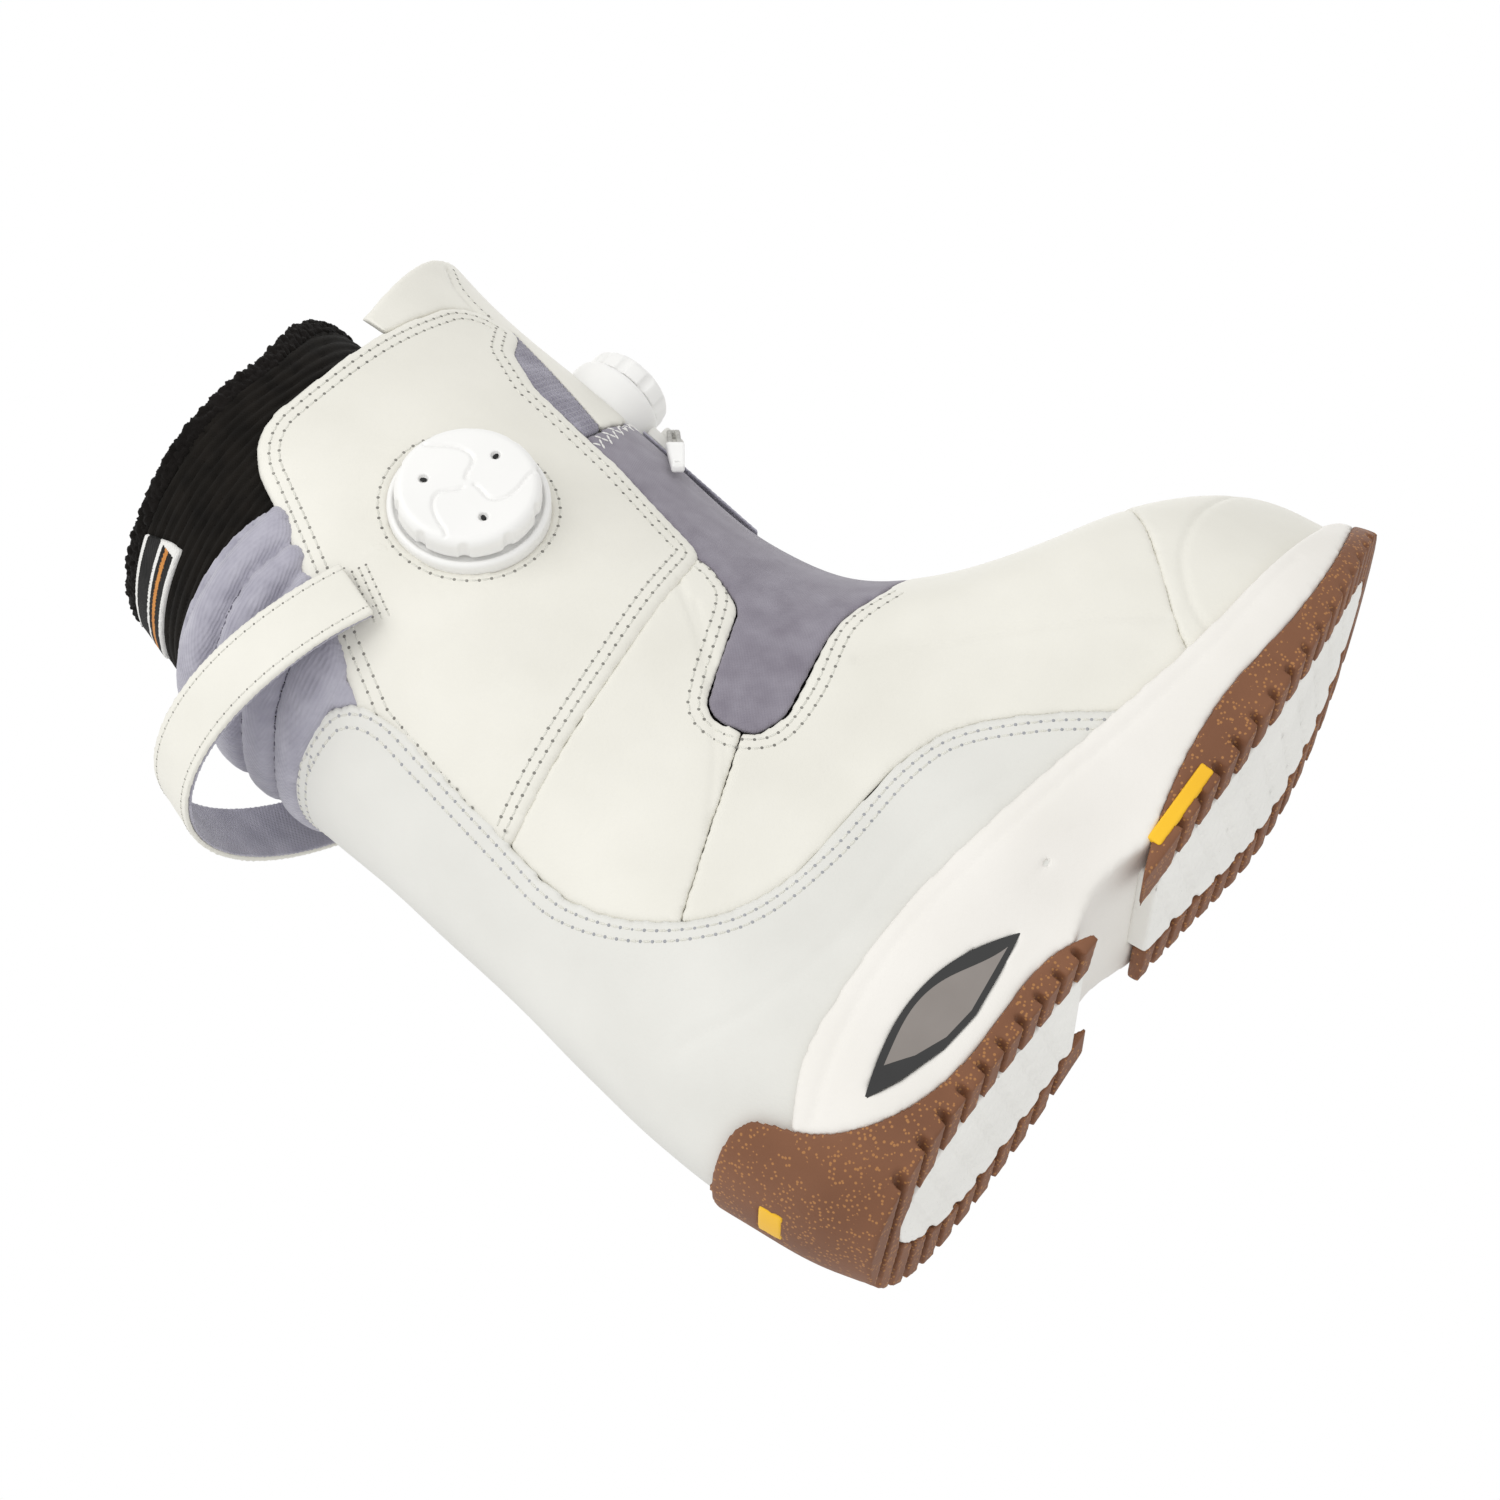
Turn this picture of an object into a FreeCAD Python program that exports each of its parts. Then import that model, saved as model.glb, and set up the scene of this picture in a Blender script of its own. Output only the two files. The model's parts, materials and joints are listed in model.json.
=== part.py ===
import FreeCAD, Part
import math
import os

os.makedirs("parts", exist_ok=True)
Vector = FreeCAD.Vector

# Snowboard boot for the right foot. Millimetres. +X points to the toe, +Y to the inner (medial)
# side, +Z up. The origin is on the ground under the middle of the heel.

# ---- driving dimensions ---------------------------------------------------------------------
SHELL = 2.5              # thickness of the leather upper
LINER_GAP = 4.2          # from the upper's outer face to the liner, at the sides and back
LINER = 5.0              # wall of the padded liner
CLEAR = 0.35             # air between pieces that move against each other
SOLE_RISE = 22.0         # floor of the midsole, under the lasting board
SOLE_EDGE = 3.5          # how far the sole stands out past the upper
RUBBER_RING = 14.0       # width of the rubber tread ring seen from below
RUBBER_BASE = 8.0        # height of the tread ring and the pads inside it
RUBBER_SKIN = 4.0        # thickness of the rubber that wraps up the sides
TOP = 318.0              # height at which the master form ends
COLLAR_TOP = 311.0       # rim of the liner
FLAP_EDGE = [(96, 219), (134, 222), (150, 231)]    # top edge of the stretch gaiter, x and z
TONGUE_TOP = 308.0       # top of the tongue's pull tab
SIDE_DIAL = (65.0, 224.0)    # x, z of the dial on the outer side
FRONT_DIAL_Z = 240.0
SIDE_BASE_R = 24.0       # dial on the outer side: base, knob and spool radii
SIDE_KNOB_R = 21.5
SIDE_HUB_R = 12.0
FRONT_BASE_R = 16.0      # smaller dial on the tongue
FRONT_KNOB_R = 14.5
FRONT_HUB_R = 8.0
KNOB_HEIGHT = 7.4
KNOB_LIFT = 0.4          # gap under a knob that is pushed home
STEM_R = 4.0
RUN_FIT = 0.05           # radial clearance of a turning or sliding fit
LOOP_PIVOT = (21.5, 230.0)   # x, z where the pull loop is sewn on
TONGUE_HINGE = (108.0, 150.0)

# Side profile and widths of the upper: (height, x) and (height or x, half width).
BACK_LINE = [(0, -38), (10, -39), (30, -42), (50, -43), (75, -41), (100, -37), (130, -31), (160, -26),
             (200, -20), (240, -16), (270, -11), (300, -1), (320, 2)]
FRONT_LINE = [(0, 240), (10, 242), (30, 243), (50, 240), (65, 230), (78, 212), (88, 192), (100, 171),
              (115, 152), (130, 141), (145, 137), (160, 135), (180, 137), (200, 141), (220, 144.5),
              (240, 148), (260, 151), (280, 154), (300, 159), (320, 163)]
FRONT_ROUND = [(0, 72), (50, 66), (80, 62), (110, 60), (140, 68), (170, 74), (200, 80), (320, 86)]
BACK_ROUND = [(0, 38), (60, 42), (110, 50), (150, 60), (200, 62), (320, 60)]
SHAFT_WIDTH = [(80, 42), (120, 43), (160, 47), (200, 52), (250, 55), (320, 54)]
SHAFT_SHARE = [(60, 0), (100, 0.35), (140, 0.8), (170, 1)]
FRONT_POWER = [(100, 2.0), (180, 1.8)]
OUTER_WIDTH = [(-45, 36), (0, 40), (40, 42), (90, 45), (140, 51), (170, 52), (200, 48), (250, 36)]
INNER_WIDTH = [(-45, 36), (0, 40), (40, 38), (90, 36), (140, 42), (170, 46), (200, 46), (250, 40)]
LINER_FRONT = [(100, 4.2), (150, 9), (200, 14), (250, 24), (300, 41)]
# Tread outline of the sole at the ground.
TREAD_OUTER = [(-40, 37), (40, 38), (80, 38), (117, 46), (145, 51), (171, 53), (197, 52), (245, 48)]
TREAD_INNER = [(-40, 37), (5, 45), (40, 40), (80, 25), (117, 31), (145, 41), (171, 46), (197, 44), (245, 42)]
LEVELS = [18, 30, 42, 54, 64, 72, 80, 88, 97, 108, 120, 134, 150, 168, 190, 215, 245, 275, 300, TOP]
POINTS_ROUND = 32


# ---- helpers ----------------------------------------------------------------------------------
def eased(table, at):
    """Read a hand-set table at any place, easing between its rows without overshoot."""
    if at <= table[0][0]:
        return table[0][1]
    if at >= table[-1][0]:
        return table[-1][1]
    steps = [b[0] - a[0] for a, b in zip(table, table[1:])]
    rises = [(b[1] - a[1]) / s for a, b, s in zip(table, table[1:], steps)]
    slopes = [rises[0]]
    for before, after in zip(rises, rises[1:]):
        slopes.append(0 if before * after <= 0 else 2 * before * after / (before + after))
    slopes.append(rises[-1])
    i = max(k for k in range(len(steps)) if table[k][0] <= at)
    t = (at - table[i][0]) / steps[i]
    h = steps[i]
    return (table[i][1] * (1 + 2 * t) * (1 - t) ** 2 + slopes[i] * h * t * (1 - t) ** 2
            + table[i + 1][1] * t * t * (3 - 2 * t) + slopes[i + 1] * h * t * t * (t - 1))


def rounded_outline(z, back, front, back_round, front_round, outer_width, inner_width, power):
    """Closed smooth plan outline at one height, as a wire. Widths are functions of x."""
    squeeze = min(1.0, (front - back) / (back_round + front_round))
    back_round = back_round * squeeze
    front_round = front_round * squeeze
    points = []
    for i in range(POINTS_ROUND):
        angle = 2 * math.pi * i / POINTS_ROUND
        x = (back + front) / 2 + (front - back) / 2 * math.cos(angle)
        reach = 0.0
        exponent = 2.0
        if x > front - front_round:
            reach = (x - front + front_round) / front_round
            exponent = power
        elif x < back + back_round:
            reach = (back + back_round - x) / back_round
        ends = max(0.0, 1 - min(1.0, reach) ** exponent) ** (1 / exponent)
        side = math.sin(angle)
        width = inner_width(x) if side > 0 else outer_width(x)
        points.append(Vector(x, math.copysign(width * ends, side), z))
    curve = Part.BSplineCurve()
    curve.interpolate(Points=points, PeriodicFlag=True,
                      Parameters=[i / POINTS_ROUND for i in range(POINTS_ROUND + 1)])
    return Part.Wire(curve.toShape())


def upper_section(z, inset, front_inset=None):
    """Outline of the boot's upper at a height, drawn in by an inset (or out, if negative)."""
    slope = (eased(FRONT_LINE, z + 2) - eased(FRONT_LINE, z - 2)) / 4
    forward = inset if front_inset is None else front_inset
    share = eased(SHAFT_SHARE, z)

    def width(table):
        return lambda x: eased(table, x) * (1 - share) + eased(SHAFT_WIDTH, z) * share - inset

    return rounded_outline(z, eased(BACK_LINE, z) + inset,
                           eased(FRONT_LINE, z) - forward * math.sqrt(1 + slope * slope),
                           eased(BACK_ROUND, z), eased(FRONT_ROUND, z),
                           width(OUTER_WIDTH), width(INNER_WIDTH), eased(FRONT_POWER, z))


def upper_form(inset, front_table=None):
    """Solid bounded by the upper's surface at an inset."""
    wires = []
    for z in LEVELS:
        front = None
        if front_table:
            front = eased(front_table, z) + inset - LINER_GAP
        wires.append(upper_section(z, inset, front))
    return Part.makeLoft(wires, True, False)


def rounded_path(corners):
    """Closed side-view wire (x, z) with straight sides and a tangent arc of radius r at (x, z, r)."""
    count = len(corners)
    ends = []
    for i, corner in enumerate(corners):
        here = Vector(corner[0], 0, corner[1])
        radius = corner[2] if len(corner) > 2 else 0
        before = corners[i - 1]
        after = corners[(i + 1) % count]
        back = (Vector(before[0], 0, before[1]) - here).normalize()
        ahead = (Vector(after[0], 0, after[1]) - here).normalize()
        half = math.acos(max(-1.0, min(1.0, back.dot(ahead)))) / 2
        if radius <= 0:
            ends.append((here, None, here))
            continue
        reach = radius / math.tan(half)
        inward = (back + ahead).normalize()
        middle = here + inward * (radius / math.sin(half) - radius)
        ends.append((here + back * reach, middle, here + ahead * reach))
    edges = []
    for i, (start, middle, end) in enumerate(ends):
        if middle is not None:
            edges.append(Part.Arc(start, middle, end).toShape())
        following = ends[(i + 1) % count][0]
        if (following - end).Length > 0.01:
            edges.append(Part.LineSegment(end, following).toShape())
    return Part.Wire(edges)


def curved_path(curve_points, closing_points):
    """Closed side-view wire: a smooth curve, then straight lines back to its start."""
    curve = Part.BSplineCurve()
    curve.interpolate([Vector(x, 0, z) for x, z in curve_points])
    edges = [curve.toShape()]
    corners = [curve_points[-1]] + list(closing_points) + [curve_points[0]]
    for a, b in zip(corners, corners[1:]):
        edges.append(Part.LineSegment(Vector(a[0], 0, a[1]), Vector(b[0], 0, b[1])).toShape())
    return Part.Wire(edges)


def prism(wire, y_low=-90.0, y_high=90.0):
    """Side-view outline pushed through the boot from one Y to another."""
    face = Part.Face(wire)
    face.translate(Vector(0, y_low, 0))
    return face.extrude(Vector(0, y_high - y_low, 0))


def slab(x0, x1, y0, y1, z0, z1):
    return Part.makeBox(x1 - x0, y1 - y0, z1 - z0, Vector(x0, y0, z0))


def rod(start, direction, radius, length):
    return Part.makeCylinder(radius, length, Vector(*start), Vector(*direction))


def largest(shape):
    return max(shape.Solids, key=lambda s: s.Volume)


def save(name, shape):
    """Write one sub-part; several bodies of one kind share a file as a compound."""
    solids = [s for s in shape.Solids if s.Volume > 1.0]
    result = solids[0] if len(solids) == 1 else Part.makeCompound(solids)
    result.exportStep("parts/" + name + ".step")
    box = result.BoundBox
    print("%-24s %d solid(s) %9.0f mm3  x %.0f..%.0f y %.0f..%.0f z %.0f..%.0f valid %s" % (
        name, len(solids), result.Volume, box.XMin, box.XMax, box.YMin, box.YMax, box.ZMin, box.ZMax,
        result.isValid()))
    return result


# ---- side-view outlines -----------------------------------------------------------------------
HEEL_PANEL = curved_path(
    [(-30, 228), (-14, 225), (-3, 218), (1, 205), (-2, 185), (-8, 152), (-12, 128), (-9, 108), (0, 92),
     (14, 82), (40, 77), (72, 76), (92, 70), (110, 53), (124, 34), (132, 12)], [(-80, 12), (-80, 228)])
CUFF = rounded_path([(-16, 149), (100, 166, 8), (111, 205, 60), (118, 243, 14), (127, 259, 8), (139, 267, 5),
                     (137, 284, 14), (44, 291, 24), (14, 238, 40), (-4, 205)])
GAITER = rounded_path([(190, 118), (122, 116, 30), (104, 119, 30), (69, 111, 6), (58, 114, 5), (54, 130, 8),
                       (91, 145, 10), (99, 162, 6), (96, 180)] + FLAP_EDGE + [(190, 231)])
TONGUE_FRONT = rounded_path(FLAP_EDGE + [(190, 231), (190, TONGUE_TOP), (103, TONGUE_TOP), (103, 284),
                                         (96, 276)])
KNIT = rounded_path([(96, 210), (96, 276), (128, 276), (141, 270), (121, 216), (121, 210)])
TENDON = curved_path([(-60, 279), (-9, 279.5), (8, 278), (28, 271.5), (40, 262)], [(40, 190), (-60, 190)])
QUARTER = rounded_path([(-40, 80), (62, 120), (80, 130), (120, 130), (120, 200), (-40, 200)])
TOE_CAP = curved_path([(146, 8), (153, 31), (165, 46), (178, 60), (192, 76), (204, 96)],
                      [(300, 96), (300, 8)])
SOLE_TOP = [(-56, 30), (-32, 34), (-21, 40), (5, 45), (28, 47), (61, 45), (94, 40), (126, 34), (160, 29),
            (227, 29), (256, 31)]
TOE_SPRING = [(140, 0), (165, 1.2), (195, 5.5), (222, 12), (256, 23)]
HEEL_RUBBER_TOP = [(-60, 49), (-44, 50), (-38, 48), (-31, 31), (-22, 17), (-6, 9), (26, 7), (53, 6.5), (66, 1)]
FOREFOOT_RUBBER_TOP = [(87, 0.5), (104, 7), (134, 12.5), (150, 13), (168, 12), (191, 12.5),
                       (225, 20), (258, 33)]
WINDOW = curved_path([(-17, 21), (-8, 24), (2, 26.6), (14, 28), (28, 26.6), (40, 22.6), (51, 17)],
                     [(38, 14.4), (23, 12.2), (9, 12.8), (-6, 16.4)])
LENS = curved_path([(-6, 22.4), (4, 24.9), (14, 26.2), (24, 24.8), (34, 20.8), (45, 17.2)],
                   [(36, 15.8), (23, 13.8), (12, 14.4), (2, 17.6)])


# ---- sole ----------------------------------------------------------------------------------------
def sole_form(inset):
    """Solid of the whole sole, from tread to the wrap round the upper, drawn in by an inset."""
    def tread(z, grow):
        return rounded_outline(z, -40 + inset - grow, 245 - inset + grow, 36, 76,
                               lambda x: eased(TREAD_OUTER, x) - inset + grow,
                               lambda x: eased(TREAD_INNER, x) - inset + grow, 2.0)
    wires = [tread(-2, 0), tread(5, 1), tread(14, 3)]
    for z in (30, 44, 58):
        wires.append(upper_section(z, inset - SOLE_EDGE))
    return Part.makeLoft(wires, True, False)


def tread_grooves(first, last, pitch, lean):
    """Slots across the tread, from the ground up, each leaning a little from square."""
    slots = []
    x = first
    while x <= last:
        slot = slab(-1.4, 1.4, -80, 80, -3, 4.2)
        slot.rotate(Vector(0, 0, 0), Vector(0, 0, 1), lean)
        lift = max(0.0, eased(TOE_SPRING, x))
        slot.translate(Vector(x, 0, lift))
        slots.append(slot)
        x += pitch
    return Part.makeCompound(slots)


upper_outer = upper_form(0)
sole = sole_form(0)
sole_core = sole_form(RUBBER_RING)
sole_inner = sole_form(RUBBER_SKIN)
spring_line = prism(curved_path(TOE_SPRING, [(256, 90), (-60, 90), (-60, 0)]))
sole = sole.common(spring_line)
below_base = prism(curved_path([(x, z + RUBBER_BASE) for x, z in TOE_SPRING],
                               [(256, -20), (-60, -20), (-60, RUBBER_BASE)]))
heel_zone = prism(curved_path(HEEL_RUBBER_TOP, [(66, -20), (-60, -20)]))
forefoot_zone = prism(curved_path(FOREFOOT_RUBBER_TOP, [(258, -20), (87, -20)]))
rubber_hollow = sole_inner.cut(below_base)
tread_hollow = sole_core.common(below_base)
upper_space = upper_outer.common(slab(-80, 300, -90, 90, SOLE_RISE, TOP))


def rubber_piece(zone, grooves):
    ring = sole.common(zone).cut(rubber_hollow).cut(tread_hollow).cut(upper_space)
    ring = largest(ring)
    return ring, largest(ring.cut(grooves))


heel_ring, heel_outsole = rubber_piece(heel_zone, tread_grooves(-32, 58, 9, 12))
forefoot_ring, forefoot_outsole = rubber_piece(forefoot_zone, tread_grooves(98, 236, 9, 12))
tread_core = tread_hollow.common(sole).cut(upper_space)
heel_pad_form = tread_core.common(slab(-60, 60, -80, 80, -5, RUBBER_BASE - 0.01))
forefoot_pad_form = tread_core.common(slab(96, 260, -80, 80, -5, 40))
heel_pad = heel_pad_form.cut(tread_grooves(-18, 50, 11, -20))
forefoot_pad = forefoot_pad_form.cut(tread_grooves(106, 226, 11, -20))

heel_inlay = slab(-60, -30, -6, 7, 27, 34).common(sole).cut(sole_form(1.5))
heel_outsole = heel_outsole.cut(heel_inlay)
forefoot_inlay = slab(98, 124, -60, -30, 2.5, 6.5).common(sole).cut(sole_form(1.5))
forefoot_outsole = forefoot_outsole.cut(forefoot_inlay)

arch_clear = prism(curved_path([(40, -1), (58, 4), (76, 9), (98, 5), (120, -1)], []))
midsole_zone = prism(curved_path(SOLE_TOP, [(256, -20), (-56, -20)]))
midsole = sole.common(midsole_zone)
for taken in (heel_ring, forefoot_ring, heel_pad_form, forefoot_pad_form, heel_inlay, forefoot_inlay,
              upper_space, arch_clear):
    midsole = midsole.cut(taken)
window = prism(WINDOW, -70, -20).common(sole).cut(upper_space)
window_rim = window.cut(sole_form(2.2))
lens_zone = prism(LENS, -70, -20)
window_lens = window_rim.common(lens_zone)
window_rim = window_rim.cut(lens_zone)
midsole = midsole.cut(window_rim).cut(window_lens)
shank = slab(-14, 112, -11, 11, 15, 17.5)
midsole = largest(midsole.cut(shank))

save("heel_outsole", heel_outsole)
save("forefoot_outsole", forefoot_outsole)
save("heel_tread_pad", heel_pad)
save("forefoot_tread_pad", forefoot_pad)
save("heel_inlay", heel_inlay)
save("forefoot_inlay", forefoot_inlay)
save("midsole", midsole)
save("window_rim", window_rim)
save("window_lens", window_lens)
save("shank", shank)


# ---- leather upper --------------------------------------------------------------------------------
shell_space = upper_form(SHELL)
rest = upper_outer.cut(shell_space).common(slab(-80, 300, -90, 90, SOLE_RISE, TOP - 1))
OUTER_SIDE = (-90.0, 0.0)
INNER_SIDE = (0.0, 90.0)


def take(shell, cutter):
    """Split the shell into the piece inside a cutter and what is left."""
    return shell.common(cutter), shell.cut(cutter)


heel_panel, rest = take(rest, prism(HEEL_PANEL))
tongue_zone = prism(TONGUE_FRONT)
cuff_both, rest = take(rest, prism(CUFF))
gaiter, rest = take(rest, prism(GAITER))
tongue_shell, rest = take(rest, tongue_zone)
tendon_panel, rest = take(rest, prism(TENDON))
quarter_both, rest = take(rest, prism(QUARTER))
toe_cap, rest = take(rest, prism(TOE_CAP))
vamp = largest(rest.common(slab(-80, 300, -90, 90, 0, 200)))
outer_half = slab(-80, 300, *OUTER_SIDE, 0, 330)
inner_half = slab(-80, 300, *INNER_SIDE, 0, 330)
cuff_outer = largest(cuff_both.common(outer_half))
cuff_inner = largest(cuff_both.common(inner_half))
quarter_outer = largest(quarter_both.common(outer_half))
quarter_inner = largest(quarter_both.common(inner_half))

# ---- side dial: base in the cuff, spool turning in it, knob sliding on the spool's stem -------------
SIDE_FACE_Y = -57.0
SIDE_DEPTH = 8.4
FRONT_FACE_X = 155.0


def dial(centre, outward, inner_reach, base_r, knob_r, hub_r):
    """Base, spool and knob about a centre on the base's outer face, facing outward."""
    out = Vector(*outward)
    mid = Vector(*centre)

    def ring(start, length, radius, hole=0.0):
        body = Part.makeCylinder(radius, length, mid + out * start, out)
        if hole > 0:
            body = body.cut(Part.makeCylinder(hole, length + 2, mid + out * (start - 1), out))
        return body

    base = ring(-inner_reach, inner_reach, base_r)
    outer_edges = [e for e in base.Edges if isinstance(e.Curve, Part.Circle) and
                   (e.CenterOfMass - mid).Length < 0.5]
    base = base.makeFillet(1.6, outer_edges)
    base = base.cut(ring(-5.5, 6, hub_r + RUN_FIT))
    base = base.cut(ring(-0.9, 1.5, knob_r + 0.6).cut(ring(-2, 4, hub_r + 1.6)))
    spool = ring(-5.2, 5.2, hub_r).fuse(ring(0, KNOB_HEIGHT - 1.8, STEM_R))
    knob = ring(KNOB_LIFT, KNOB_HEIGHT, knob_r)
    top_edge = [e for e in knob.Edges if isinstance(e.Curve, Part.Circle) and
                (e.CenterOfMass - mid - out * (KNOB_LIFT + KNOB_HEIGHT)).Length < 0.1]
    knob = knob.makeFillet(3.2, top_edge)
    knob = knob.cut(ring(0, KNOB_HEIGHT - 1.2, STEM_R + RUN_FIT))
    across = out.cross(Vector(0, 0, 1)).normalize()
    lobes = 10
    for i in range(lobes):
        angle = 2 * math.pi * i / lobes
        aim = across * math.cos(angle) + Vector(0, 0, 1) * math.sin(angle)
        scoop = Part.makeCylinder(2.6, 14, mid + aim * (knob_r + 1.7) + out * 0.2, out)
        knob = knob.cut(scoop)
    for i in range(3):
        angle = math.radians(60 + 120 * i)
        aim = across * math.cos(angle) + Vector(0, 0, 1) * math.sin(angle)
        knob = knob.cut(Part.makeCylinder(1.5, 4, mid + aim * knob_r * 0.6 + out * (KNOB_HEIGHT - 0.8), out))
    return base, spool, knob


side_dial_base, side_dial_spool, side_dial_knob = dial(
    (SIDE_DIAL[0], SIDE_FACE_Y, SIDE_DIAL[1]), (0, -1, 0), SIDE_DEPTH, SIDE_BASE_R, SIDE_KNOB_R, SIDE_HUB_R)
front_dial_base, front_dial_spool, front_dial_knob = dial(
    (FRONT_FACE_X, 0, FRONT_DIAL_Z), (1, 0, 0), 13.0, FRONT_BASE_R, FRONT_KNOB_R, FRONT_HUB_R)
cuff_outer = largest(cuff_outer.cut(rod((SIDE_DIAL[0], -40, SIDE_DIAL[1]), (0, -1, 0), SIDE_BASE_R, 40)))
dial_hole = rod((120, 0, FRONT_DIAL_Z), (1, 0, 0), FRONT_BASE_R, 60)
dial_clear = rod((120, 0, FRONT_DIAL_Z), (1, 0, 0), FRONT_BASE_R + CLEAR, 60)

# ---- tongue: moves as one body, so it keeps clear of the cuffs and the gaiter ------------------------
cuff_keepout = prism(rounded_path([(-20, 100), (100.5, 100), (100.5, 165.5, 8), (111.5, 205, 60),
                                   (118.5, 242.7, 14), (127.3, 258.5, 8), (139.6, 266.7, 5), (137.5, 284.6, 14),
                                   (44, 291.6), (-20, 291.6)]))
above_flap = prism(rounded_path([(x, z + 1.2 * CLEAR) for x, z in FLAP_EDGE]
                                + [(190, 231 + CLEAR), (190, 330), (80, 330), (80, 219 + CLEAR)]))
tongue_shell = tongue_shell.cut(cuff_keepout).common(above_flap)
knit_strip = tongue_shell.common(prism(KNIT))
tongue_top = prism(rounded_path([(-62, 200), (-62, TONGUE_TOP, 44), (62, TONGUE_TOP, 44), (62, 200)]),
                   -200, 200)
tongue_top.rotate(Vector(0, 0, 0), Vector(0, 0, 1), 90)
tongue_panel = largest(tongue_shell.cut(prism(KNIT)).cut(dial_hole).common(tongue_top))
gaiter = largest(gaiter.cut(dial_clear))
tongue_board_form = upper_form(SHELL + 0.3).cut(upper_form(SHELL + 1.8))
tongue_board = tongue_board_form.common(slab(118, 200, -40, 40, 205, 300)).cut(cuff_keepout)
tongue_board = largest(tongue_board.cut(dial_hole))

# ---- zip down the middle of the gaiter --------------------------------------------------------------
ZIP_TOP = 223.0
ZIP_LOW = 172.0
ZIP_LEAN = (eased(FRONT_LINE, ZIP_TOP) - eased(FRONT_LINE, ZIP_LOW)) / (ZIP_TOP - ZIP_LOW)


def zip_strip(offset, thickness, half_width, low, high, end=0.0):
    """Straight strip lying in front of the gaiter, between two heights."""
    def x_at(z):
        return eased(FRONT_LINE, ZIP_TOP) + (z - ZIP_TOP) * ZIP_LEAN + offset
    wire = rounded_path([(x_at(low), low, end), (x_at(high), high, end), (x_at(high) + thickness, high, end),
                         (x_at(low) + thickness, low, end)])
    return prism(wire, -half_width, half_width)


zip_tape = zip_strip(0.4, 0.8, 7, ZIP_LOW, ZIP_TOP)
TOOTH_PITCH = 2
SLIDER_LOW = ZIP_TOP - 12
PIN_Z = ZIP_TOP - 6
PIN_OUT = 9.2
PIN_R_HOLE = 0.8
zip_teeth = Part.makeCompound([zip_strip(1.2, 1.0, 2.4, z, z + 1.2) for z in range(173, 221, TOOTH_PITCH)])
zip_slider = zip_strip(2.6, 3.4, 4.2, SLIDER_LOW, ZIP_TOP, 0.6).fuse(
    zip_strip(5.0, 5.6, 1.4, SLIDER_LOW + 2, ZIP_TOP - 2, 0.9))
puller_pin_centre = Vector(eased(FRONT_LINE, ZIP_TOP) + (PIN_Z - ZIP_TOP) * ZIP_LEAN + PIN_OUT, 0, PIN_Z)
zip_slider = zip_slider.cut(rod((puller_pin_centre.x, -5, PIN_Z), (0, 1, 0), PIN_R_HOLE, 10))

# The puller turns on a pin through the slider's ear and hangs to the outer side, along the gaiter.
PIN_R = 0.75
CORD_SPREAD = 1.3
PULL_AIM = Vector(-0.605, -0.61, -0.51).normalize()
PULL_FACE = PULL_AIM.cross(Vector(0.45, -0.60, 0.33)).normalize()
PULL_NORMAL = PULL_FACE.cross(PULL_AIM).normalize()


def along_pull(distance, sideways=0.0, out=0.0):
    root = puller_pin_centre + Vector(0, -3.6, 0)
    return root + PULL_AIM * distance + PULL_FACE * sideways + PULL_NORMAL * out


pin = rod((puller_pin_centre.x, -3.9, PIN_Z), (0, 1, 0), PIN_R, 6.4)
pin_head = rod((puller_pin_centre.x, 1.9, PIN_Z), (0, 1, 0), 2 * PIN_R, 0.9)
cord_sides = [Part.makeCylinder(PIN_R, 16, along_pull(0, side), PULL_AIM)
              for side in (-CORD_SPREAD, CORD_SPREAD)]
cord_top = Part.makeCylinder(PIN_R, 2 * CORD_SPREAD, along_pull(0, -CORD_SPREAD), PULL_FACE)
cord_ends = [Part.makeSphere(PIN_R, along_pull(0, side)) for side in (-CORD_SPREAD, CORD_SPREAD)]
puller_cord = pin.multiFuse([pin_head, cord_top] + cord_sides + cord_ends)
tab_low = Part.Face(Part.makePolygon([along_pull(16.1, -3.0, -1.4), along_pull(16.1, 3.0, -1.4),
                                      along_pull(43, 2.0, -1.4), along_pull(43, -2.0, -1.4),
                                      along_pull(16.1, -3.0, -1.4)]))
puller_tab = tab_low.extrude(PULL_NORMAL * 2.8)
puller_tab = puller_tab.makeFillet(0.9, puller_tab.Edges)
puller_tab = puller_tab.cut(Part.makeCylinder(0.9, 8, along_pull(39.5, 0, -4), PULL_NORMAL))

# ---- pull loop at the back --------------------------------------------------------------------------
LOOP_REACH = 66.5
LOOP_HALF = 56.2
LOOP_THICK = 1.6
LOOP_WIDTH = 20.0
LOOP_RISE = 21.0


def loop_band(outside, inside):
    """Half-oval band round the back of the shaft, rising towards the back."""
    def half_oval(grow):
        oval = Part.Ellipse(Vector(0, 0, 0), LOOP_REACH + grow, LOOP_HALF + grow)
        return Part.Face(Part.Wire(oval.toShape()))
    band = half_oval(outside).cut(half_oval(inside)).extrude(Vector(0, 0, LOOP_WIDTH))
    band = band.common(slab(-120, 0, -90, 90, -5, 40))
    band.translate(Vector(0, 0, -LOOP_WIDTH / 2))
    band.rotate(Vector(0, 0, 0), Vector(0, 1, 0), LOOP_RISE)
    band.translate(Vector(LOOP_PIVOT[0], 0, LOOP_PIVOT[1]))
    return band


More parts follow.
